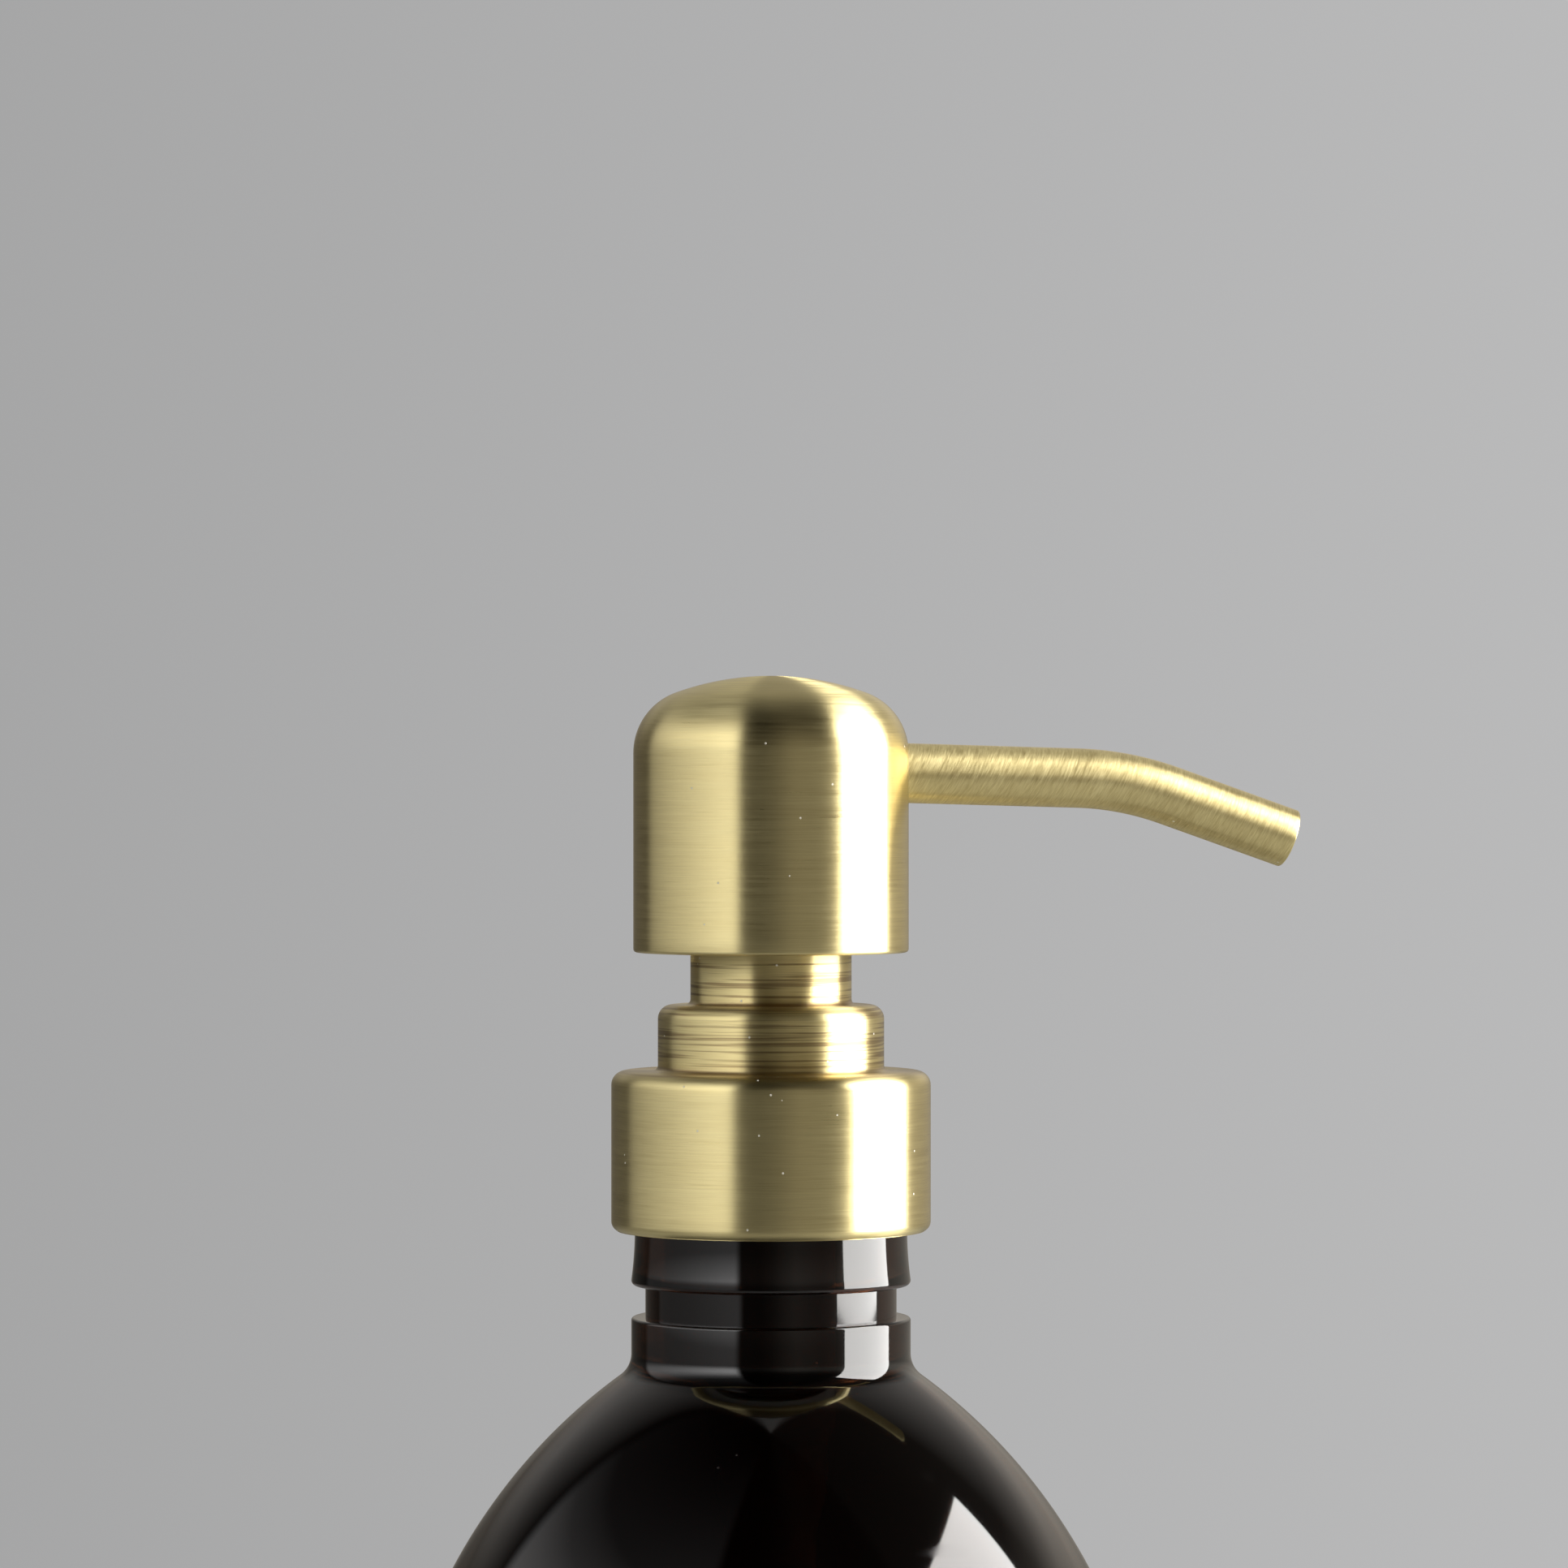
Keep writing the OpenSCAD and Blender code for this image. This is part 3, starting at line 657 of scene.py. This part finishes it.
def moulded_material(name, tint, roughness, transmission=0.0):
    """Moulded plastic with fine flow marks and a soft sheen."""
    material, shader, principled = new_material(name)
    place = shader.place()
    patch = shader.use(mottle(), place=place, patches=160.0)["Patch"]
    flow = shader.use(brushed_grain(), place=place, across=1500.0, along=120.0)
    grain = shader.noise(place, scale=9000.0, detail=1.0)
    dark = [0.88 * channel for channel in tint]
    base = shader.mix(shader.math("MULTIPLY", patch, 0.5), tint, dark)
    base = shader.mix(shader.math("MULTIPLY", flow["Scratches"], 0.3), base, dark)
    rough = shader.math("ADD", shader.math("MULTIPLY", patch, 0.1), roughness)
    shader.feed(principled.inputs["Base Color"], base)
    shader.feed(principled.inputs["Roughness"], rough)
    height = shader.math("ADD", grain, shader.math("MULTIPLY", flow["Grain"], 0.5))
    shader.feed(principled.inputs["Normal"], shader.bump(height, 0.25, 0.02 * MM))
    principled.inputs["Subsurface Weight"].default_value = 0.15
    principled.inputs["Subsurface Scale"].default_value = 1.5 * MM
    principled.inputs["Transmission Weight"].default_value = transmission
    return material


def seal_material(name, tint):
    """Soft matt rubber with a fine bloom."""
    material, shader, principled = new_material(name)
    place = shader.place()
    patch = shader.use(mottle(), place=place, patches=400.0)["Patch"]
    bloom = shader.use(dust(), place=place, cells=3000.0, size=0.2, share=0.2)["Specks"]
    darker = [0.8 * channel for channel in tint]
    base = shader.mix(shader.math("MULTIPLY", patch, 0.4), tint, darker)
    base = shader.mix(shader.math("MULTIPLY", bloom, 0.2), base, (0.8, 0.8, 0.78))
    shader.feed(principled.inputs["Base Color"], base)
    shader.feed(principled.inputs["Roughness"], shader.span(patch, 0.0, 1.0, 0.55, 0.75))
    fine = shader.noise(place, scale=6000.0, detail=2.0)
    shader.feed(principled.inputs["Normal"], shader.bump(fine, 0.3, 0.02 * MM))
    return material


def steel_material():
    """Bright stainless steel with drawing marks."""
    finish = bpy.context.scene.pump_finish
    material, shader, principled = new_material("Spring steel")
    place = shader.place()
    grain = shader.use(brushed_grain(), place=place, across=5000.0, along=600.0)
    patch = shader.use(mottle(), place=place, patches=300.0)["Patch"]
    tone = shader.math("MULTIPLY", shader.math("ADD", grain["Scratches"], patch), 0.3)
    shader.feed(principled.inputs["Base Color"], shader.mix(tone, finish.steel, (0.42, 0.42, 0.43)))
    shader.feed(principled.inputs["Roughness"], shader.span(grain["Grain"], 0.0, 1.0, 0.16, 0.3))
    shader.feed(principled.inputs["Normal"], shader.bump(grain["Height"], 0.2, 0.01 * MM))
    principled.inputs["Metallic"].default_value = 1.0
    return material


def floor_material():
    """A plain pale floor."""
    stage = bpy.context.scene.pump_stage
    material, shader, principled = new_material("Floor")
    patch = shader.use(mottle(), place=shader.place(), patches=6.0)["Patch"]
    tint = stage.floor_colour
    darker = [0.94 * channel for channel in tint]
    shader.feed(principled.inputs["Base Color"], shader.mix(patch, tint, darker))
    principled.inputs["Roughness"].default_value = 0.75
    return material


# ---------- Outlines ----------


def bottle_outline(sizes, radius, lip):
    """The closed half section of the bottle.

    It starts at the middle of the base, goes up the outside and comes down the inside."""
    ledge = sizes.neck + sizes.ledge_out
    ledge_top = lip - sizes.neck_height
    wall_end = ledge_top - sizes.ledge_height
    middle = radius - sizes.shoulder
    blend = ledge + sizes.ledge_curve
    run = sizes.shoulder + sizes.ledge_curve
    shoulder_z = wall_end - math.sqrt(run ** 2 - (blend - middle) ** 2)
    touch = math.degrees(math.atan2(wall_end - shoulder_z, blend - middle))
    stand = radius - sizes.stand - sizes.heel
    hollow = (stand ** 2 + sizes.push_up ** 2) / (2 * sizes.push_up)
    rise = math.degrees(math.asin(stand / hollow))
    bead_low = ledge_top + sizes.bead_gap
    bead_high = bead_low + sizes.bead_height
    bore = sizes.neck - sizes.neck_wall

    base = arc((0.0, sizes.push_up - hollow), hollow, 90, 90 - rise, 12)
    heel = arc((radius - sizes.heel, sizes.heel), sizes.heel, -90, 0, 16)
    shoulder = arc((middle, shoulder_z), sizes.shoulder, 0, touch, 48)
    curve = arc((blend, wall_end), sizes.ledge_curve, touch + 180, 180, 12)
    upper = sizes.ledge_edge
    ledge_round = arc((ledge - upper, ledge_top - upper), upper, 0, 90, 5)
    lower = sizes.bead_edge
    bead_round = arc((ledge - lower, bead_low + lower), lower, -90, 0, 6)
    flare_height = sizes.bead_height - 1.2 * MM
    flare = [
        (ledge - sizes.bead_flare * (1 - (1 - rise) ** 2), bead_low + lower + rise * flare_height)
        for rise in (k / 6 for k in range(1, 7))
    ]
    lip_round = sizes.lip_edge
    lip_outer = arc((sizes.neck - lip_round, lip - lip_round), lip_round, 0, 90, 6)
    lip_inner = arc((bore + lip_round / 2, lip - lip_round / 2), lip_round / 2, 90, 180, 4)
    outside = (
        base + heel + stretch(heel[-1], shoulder[0], 12) + shoulder + curve + ledge_round
        + [(sizes.neck, ledge_top), (sizes.neck, bead_low)] + bead_round + flare
        + [(sizes.neck, bead_high)] + lip_outer
    )

    wall = sizes.wall
    inner = sizes.shoulder - wall
    meet = math.degrees(math.acos((bore - middle) / inner))
    floor = hollow + sizes.base
    floor_z = sizes.push_up - hollow
    inner_heel = arc((radius - sizes.heel, sizes.heel), sizes.heel - wall, 0, -90, 12)
    foot = inner_heel[-1][0]
    reach = min(foot, math.sqrt(floor ** 2 - (wall - floor_z) ** 2))
    lift = math.degrees(math.asin(reach / floor))
    inside = (
        lip_inner + arc((middle, shoulder_z), inner, meet, 0, 40)
        + inner_heel + arc((0.0, floor_z), floor, 90 - lift, 90, 12)
    )
    return outside + inside


def dome_outline(sizes, radius, rim, top):
    """The closed half section of the dome's thin shell."""

    def shell(inset):
        crown_z = top - sizes.crown
        corner_x = radius - sizes.corner
        corner_z = crown_z + math.sqrt((sizes.crown - sizes.corner) ** 2 - corner_x ** 2)
        slope = math.degrees(math.atan2(corner_z - crown_z, corner_x))
        crown = arc((0.0, crown_z), sizes.crown - inset, 90, slope, 20)
        corner = arc((corner_x, corner_z), sizes.corner - inset, slope, 0, 20)
        return crown + corner

    outer = shell(0.0)
    inner = shell(sizes.wall)
    half = sizes.wall / 2
    edge = arc((radius - half, rim + half), half, 0, -180, 12)
    down, up = stretch(outer[-1], edge[0], 16), stretch(edge[-1], inner[-1], 8)
    return outer + down + edge + up + inner[::-1]


def collar_outline(sizes, radius, low, high):
    """The closed half section of the stepped collar's thin shell."""
    deck = low + sizes.height
    step = deck + sizes.step_height
    fillet, foot, lip = sizes.fillet, sizes.foot, sizes.lip

    def steps(inset):
        hollow = fillet + inset
        rounded = sizes.round - inset
        sleeve, middle, wide = sizes.sleeve - inset, sizes.step - inset, radius - inset
        upper, lower = step - inset, deck - inset
        return (
            arc((sleeve + hollow, upper + hollow), hollow, 180, 270)
            + arc((middle - rounded, upper - rounded), rounded, 90, 0, 10)
            + arc((middle + hollow, lower + hollow), hollow, 180, 270)
            + arc((wide - rounded, lower - rounded), rounded, 90, 0, 10)
        )

    outer = steps(0.0)
    inner = steps(sizes.wall)
    top = arc((sizes.sleeve - lip, high - lip), lip, 90, 0, 4)
    inner_top = (sizes.sleeve - sizes.wall, high)
    rolled = arc((radius - foot, low + foot), foot, 0, -90, 8)
    cut_edge = 0.05 * MM
    inner_low = (radius - sizes.wall, low + cut_edge)
    return (
        top + stretch(top[-1], outer[0], 6) + outer + stretch(outer[-1], rolled[0], 12)
        + rolled + [(radius - foot, low), inner_low] + inner[::-1] + [inner_top]
    )


# ---------- Spout ----------


def spout_path(sizes, top, start, short=0.0):
    """Points and directions along the spout's axis.

    It starts at a distance along its first stretch, and ends a distance short of its tip."""
    bend_z = top - sizes.drop
    root_z = bend_z + sizes.bend_at * math.tan(sizes.fall)
    turn = sizes.tip_fall - sizes.fall
    tangent = sizes.bend * math.tan(turn / 2)
    first = sizes.bend_at / math.cos(sizes.fall) - tangent
    last = (sizes.reach - sizes.bend_at) / math.cos(sizes.tip_fall) - tangent - short

    def heading(fall):
        return Vector((math.cos(fall), 0.0, -math.sin(fall)))

    begin = Vector((0.0, 0.0, root_z))
    straight = heading(sizes.fall)
    steps, tip_steps = 24, 12
    path = [
        (begin + straight * (start + (first - start) * k / steps), sizes.fall)
        for k in range(steps)
    ]
    bend_start = begin + straight * first
    inward = Vector((-math.sin(sizes.fall), 0.0, -math.cos(sizes.fall)))
    centre = bend_start + inward * sizes.bend
    for k in range(steps + 1):
        fall = sizes.fall + turn * k / steps
        path.append((centre + Vector((math.sin(fall), 0.0, math.cos(fall))) * sizes.bend, fall))
    bend_end, down = path[-1][0], heading(sizes.tip_fall)
    path += [
        (bend_end + down * last * k / tip_steps, sizes.tip_fall) for k in range(1, tip_steps + 1)
    ]
    return [(point, heading(fall)) for point, fall in path]


def tube(name, path, outer, inner, lip, segments):
    """A tube with rounded edges at its far end, swept along a path in the plane of the spout."""
    end, away = path[-1]
    turns = [math.radians(degrees) for degrees in (0, 22, 45, 68, 90)]
    sections = [(point, direction, outer) for point, direction in path[:-1]]
    sections += [
        (end + away * (lip * math.sin(t) - lip), away, outer - lip + lip * math.cos(t))
        for t in turns
    ]
    sections += [
        (end + away * (lip * math.cos(t) - lip), away, inner + lip - lip * math.sin(t))
        for t in turns
    ]
    sections += [(point, direction, inner) for point, direction in path[-2::-1]]
    shape = bmesh.new()
    rings = [cross_ring(shape, *section, segments) for section in sections]
    join_rings(shape, rings, closed=True)
    return finish_mesh(name, shape)


# ---------- Operators ----------


class PUMP_OT_bottle(bpy.types.Operator):
    """Build the bottle with its neck rings and its thread"""

    bl_idname = "soap_pump.bottle"
    bl_label = "Bottle"

    def execute(self, context):
        sizes = context.scene.pump_bottle
        segments = context.scene.pump_stage.segments
        low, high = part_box("bottle")
        shape = bmesh.new()
        add_lathe(shape, bottle_outline(sizes, high.x, high.z), segments)
        self.add_thread(shape, sizes, high.z)
        bottle = finish_mesh("Bottle", shape)
        place(bottle, "bottle", "bottle", "amber_plastic", amber_material())
        return {"FINISHED"}

    def add_thread(self, shape, sizes, lip):
        """A ridge that winds around the neck and fades in and out."""
        whole = 2 * math.pi * sizes.thread_turns
        steps = 108
        fade = math.radians(30)
        lowest = 0.08
        sunk = 0.3 * MM
        start = lip - sizes.thread_down - sizes.thread_turns * sizes.thread_pitch
        # how far out, as a share of the crest, and how far up in millimetres
        section = [(0.0, -1.15), (0.8, -0.62), (1.0, -0.4), (1.0, 0.4), (0.8, 0.62), (0.0, 1.15)]
        rings = []
        for k in range(steps + 1):
            turn = whole * k / steps
            rise = min(1.0, max(lowest, min(turn, whole - turn) / fade))
            ring = []
            for out, up in section:
                r = sizes.neck - sunk + (sizes.thread_depth + sunk) * out * rise
                z = start + sizes.thread_pitch * turn / (2 * math.pi) + up * MM
                ring.append(shape.verts.new((r * math.cos(turn), r * math.sin(turn), z)))
            rings.append(ring)
        join_rings(shape, rings, closed=False)
        shape.faces.new(rings[0])
        shape.faces.new(rings[-1][::-1])


class PUMP_OT_collar(bpy.types.Operator):
    """Build the stepped brass collar"""

    bl_idname = "soap_pump.collar"
    bl_label = "Brass collar"

    def execute(self, context):
        sizes = context.scene.pump_collar
        low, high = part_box("collar_shell")
        outline = collar_outline(sizes, high.x, low.z, high.z)
        collar = lathe("CollarShell", outline, context.scene.pump_stage.segments)
        deck = low.z + sizes.height
        step = deck + sizes.step_height
        turned = {
            "start": deck + 0.3 * MM,
            "foot": deck + 0.15 * MM,
            "lines": [
                (step + 0.15 * MM, 0.6 * MM), (deck + 3.9 * MM, 0.16 * MM),
                (deck + 3.45 * MM, 0.12 * MM), (deck + 2.3 * MM, 0.1 * MM),
            ],
        }
        material = brass_material("Collar brass", 8500.0, 200.0, turned=turned)
        place(collar, "collar_shell", "collar", "brushed_brass", material)
        return {"FINISHED"}


class PUMP_OT_head(bpy.types.Operator):
    """Build the brass dome with the hole for its spout"""

    bl_idname = "soap_pump.head"
    bl_label = "Brass dome"

    def execute(self, context):
        sizes = context.scene.pump_head
        spout = context.scene.pump_spout
        segments = context.scene.pump_stage.segments
        low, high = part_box("head_shell")
        dome = lathe("HeadShell", dome_outline(sizes, high.x, low.z, high.z), segments)
        self.drill(dome, spout, high)
        material = brass_material("Head brass", 9500.0, 180.0)
        place(dome, "head_shell", "head", "brushed_brass", material)
        return {"FINISHED"}

    def drill(self, dome, spout, high):
        """Cut the hole that the spout's tube passes through."""
        point, direction = spout_path(spout, high.z, high.x / 2)[0]
        segments = 96
        shape = bmesh.new()
        rings = [
            cross_ring(shape, point + direction * away, direction, spout.outer, segments)
            for away in (0.0, high.x)
        ]
        join_rings(shape, rings, closed=False)
        shape.faces.new(rings[0])
        shape.faces.new(rings[1][::-1])
        cutter = finish_mesh("Drill", shape)
        cut = dome.modifiers.new("Spout hole", "BOOLEAN")
        cut.operation = "DIFFERENCE"
        cut.solver = "EXACT"
        cut.object = cutter
        graph = bpy.context.evaluated_depsgraph_get()
        cut_mesh = bpy.data.meshes.new_from_object(dome.evaluated_get(graph))
        dome.modifiers.clear()
        dome.data = cut_mesh
        bpy.data.objects.remove(cutter)
        if len(cut_mesh.vertices) == 0:
            raise RuntimeError("the spout's hole took the whole dome")


class PUMP_OT_spout(bpy.types.Operator):
    """Build the bent brass spout and the plastic tube inside it"""

    bl_idname = "soap_pump.spout"
    bl_label = "Spout"

    def execute(self, context):
        sizes = context.scene.pump_spout
        finish = context.scene.pump_finish
        segments = context.scene.pump_stage.segments // 2
        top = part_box("head_shell")[1].z
        bore = sizes.outer - sizes.wall
        path = spout_path(sizes, top, sizes.root)
        brass = tube("SpoutTube", path, sizes.outer, bore, sizes.lip, segments)
        material = brass_material(
            "Spout brass", 8000.0, 900.0,
            lean=math.radians(62), contrast=0.75, stretch=0.78, extra=0.1,
        )
        place(brass, "spout_tube", "head", "brushed_brass", material)

        outer = bore - sizes.liner_gap
        path = spout_path(sizes, top, sizes.root, sizes.liner_inset)
        liner = tube("SpoutLiner", path, outer, outer - sizes.liner_wall, sizes.lip, segments)
        plastic = moulded_material("Spout liner plastic", finish.core, 0.4)
        place(liner, "spout_liner", "head", "core_plastic", plastic)
        return {"FINISHED"}


class PUMP_OT_insides(bpy.types.Operator):
    """Give the pump's inner parts their materials"""

    bl_idname = "soap_pump.insides"
    bl_label = "Inner parts"

    def execute(self, context):
        finish = context.scene.pump_finish
        finishes = {
            moulded_material("Milky plastic", finish.milky, 0.32): (
                "pump_housing", "stem_guide", "ball_cage", "piston_body", "stem",
            ),
            moulded_material("Dip tube plastic", finish.milky, 0.25, transmission=0.35): (
                "dip_tube",
            ),
            moulded_material("Core plastic", finish.core, 0.42): ("head_core", "collar_liner"),
            seal_material("Soft seal", finish.seal): (
                "neck_gasket", "guide_seal", "piston_seal", "spout_seal",
            ),
            steel_material(): ("inlet_ball", "outlet_ball", "return_spring"),
        }
        for material, nodes in finishes.items():
            for node in nodes:
                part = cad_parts[node]
                if not part.material_slots:
                    part.data.materials.append(material)
                for slot in part.material_slots:
                    slot.material = material
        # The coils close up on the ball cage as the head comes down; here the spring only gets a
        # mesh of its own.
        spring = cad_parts["return_spring"]
        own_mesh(spring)
        return {"FINISHED"}


class PUMP_OT_stage(bpy.types.Operator):
    """Set up the camera, the floor, the panel of light, the room and the backdrop"""

    bl_idname = "soap_pump.stage"
    bl_label = "Stage"

    def execute(self, context):
        stage = context.scene.pump_stage
        self.add_camera(context, stage)
        self.add_floor(stage)
        self.add_panel(stage)
        self.set_world(context, stage)
        context.scene.view_settings.view_transform = "Standard"
        return {"FINISHED"}

    def directions(self, stage):
        """Unit vectors from the object to the camera, and to the camera's right."""
        turn = stage.azimuth
        return (
            Vector((math.sin(turn), -math.cos(turn), 0.0)),
            Vector((math.cos(turn), math.sin(turn), 0.0)),
        )

    def add_camera(self, context, stage):
        back, right = self.directions(stage)
        data = bpy.data.cameras.new("Camera")
        data.lens = stage.lens
        data.sensor_width = 36.0
        camera = bpy.data.objects.new("Camera", data)
        camera.location = back * stage.distance + right * stage.sideways
        camera.location.z = stage.height
        camera.rotation_euler = (math.radians(90), 0.0, stage.azimuth)
        context.collection.objects.link(camera)
        context.scene.camera = camera

    def add_floor(self, stage):
        shape = bmesh.new()
        bmesh.ops.create_circle(shape, cap_ends=True, segments=128, radius=stage.floor)
        floor = finish_mesh("Floor", shape)
        floor.data.materials.append(floor_material())

    def add_panel(self, stage):
        """A tall panel of light at the camera's right, level with the pump."""
        back, right = self.directions(stage)
        turn, distance, middle = math.radians(87.5), 0.60, 0.395
        data = bpy.data.lights.new("RightPanel", "AREA")
        data.shape = "RECTANGLE"
        data.size, data.size_y = 0.56, 0.61
        data.energy = 11.0
        data.color = (1.0, 0.99, 0.97)
        panel = bpy.data.objects.new("RightPanel", data)
        away = back * math.cos(turn) + right * math.sin(turn)
        panel.location = away * distance + Vector((0.0, 0.0, middle))
        panel.rotation_euler = (-away).to_track_quat("-Z", "Y").to_euler()
        panel.visible_camera = False
        bpy.context.collection.objects.link(panel)

    def set_world(self, context, stage):
        """A pale backdrop for the camera, with a painted light falloff from its left to its right,
        and the room's layers of light for all else.
        """
        back, right = self.directions(stage)
        world = bpy.data.worlds.new("Studio")
        world.use_nodes = True
        context.scene.world = world
        shader = Shader(world.node_tree)
        nodes = world.node_tree.nodes
        ray = shader.add("ShaderNodeTexCoord").outputs["Generated"]
        rightward = shader.vector("DOT_PRODUCT", ray, tuple(right))
        backward = shader.vector("DOT_PRODUCT", ray, tuple(back))
        turn = shader.math("DEGREES", shader.math("ARCTAN2", rightward, backward))
        upward = shader.separate(ray)[2]
        room = (0.0, 0.0, 0.0)
        for around, height, tint in (WARM_ROOM, LEFT_WALL, HIGH_BACK):
            level = shader.math(
                "MULTIPLY",
                shader.curve(turn, -180.0, 180.0, around),
                shader.curve(upward, -1.0, 1.0, height),
            )
            layer = shader.vector("MULTIPLY", shader.combine(level, level, level), tint)
            room = shader.vector("ADD", room, layer)
        # Painted light falloff: the backdrop seen by the camera is painted from 0.84 of its colour
        # on the left to 1.16 on the right.
        across = shader.span(rightward, -0.16, 0.16, 0.84, 1.16)
        seen = shader.add("ShaderNodeLightPath").outputs["Is Camera Ray"]
        brightness = shader.combine(across, across, across)
        backdrop = shader.vector("MULTIPLY", tuple(stage.backdrop), brightness)
        shader.feed(nodes["Background"].inputs["Color"], shader.mix(seen, room, backdrop))
        nodes["Background"].inputs["Strength"].default_value = 1.0


OPERATORS = (
    PUMP_OT_stage, PUMP_OT_bottle, PUMP_OT_collar, PUMP_OT_head, PUMP_OT_spout, PUMP_OT_insides,
)


class PUMP_PT_panel(bpy.types.Panel):
    """Lists the pieces, and the sizes and colours they use"""

    bl_idname = "PUMP_PT_panel"
    bl_label = "Soap Pump"
    bl_space_type = "VIEW_3D"
    bl_region_type = "UI"
    bl_category = "Soap Pump"

    def draw(self, context):
        for operator in OPERATORS:
            self.layout.operator(operator.bl_idname)
        for name, group in GROUPS.items():
            box = self.layout.box()
            box.label(text=group.__doc__)
            for key in group.__annotations__:
                box.prop(getattr(context.scene, name), key)


def register():
    """Add the classes and the scene's settings."""
    for group in (*GROUPS.values(), *OPERATORS, PUMP_PT_panel):
        bpy.utils.register_class(group)
    for name, group in GROUPS.items():
        setattr(bpy.types.Scene, name, PointerProperty(type=group))


def unregister():
    """Take them away again."""
    for name in GROUPS:
        delattr(bpy.types.Scene, name)
    for group in (PUMP_PT_panel, *OPERATORS[::-1], *list(GROUPS.values())[::-1]):
        bpy.utils.unregister_class(group)


def main():
    """Build everything."""
    register()
    bpy.ops.soap_pump.stage()
    bpy.ops.soap_pump.bottle()
    bpy.ops.soap_pump.collar()
    bpy.ops.soap_pump.head()
    bpy.ops.soap_pump.spout()
    bpy.ops.soap_pump.insides()


if __name__ == "__main__":
    main()
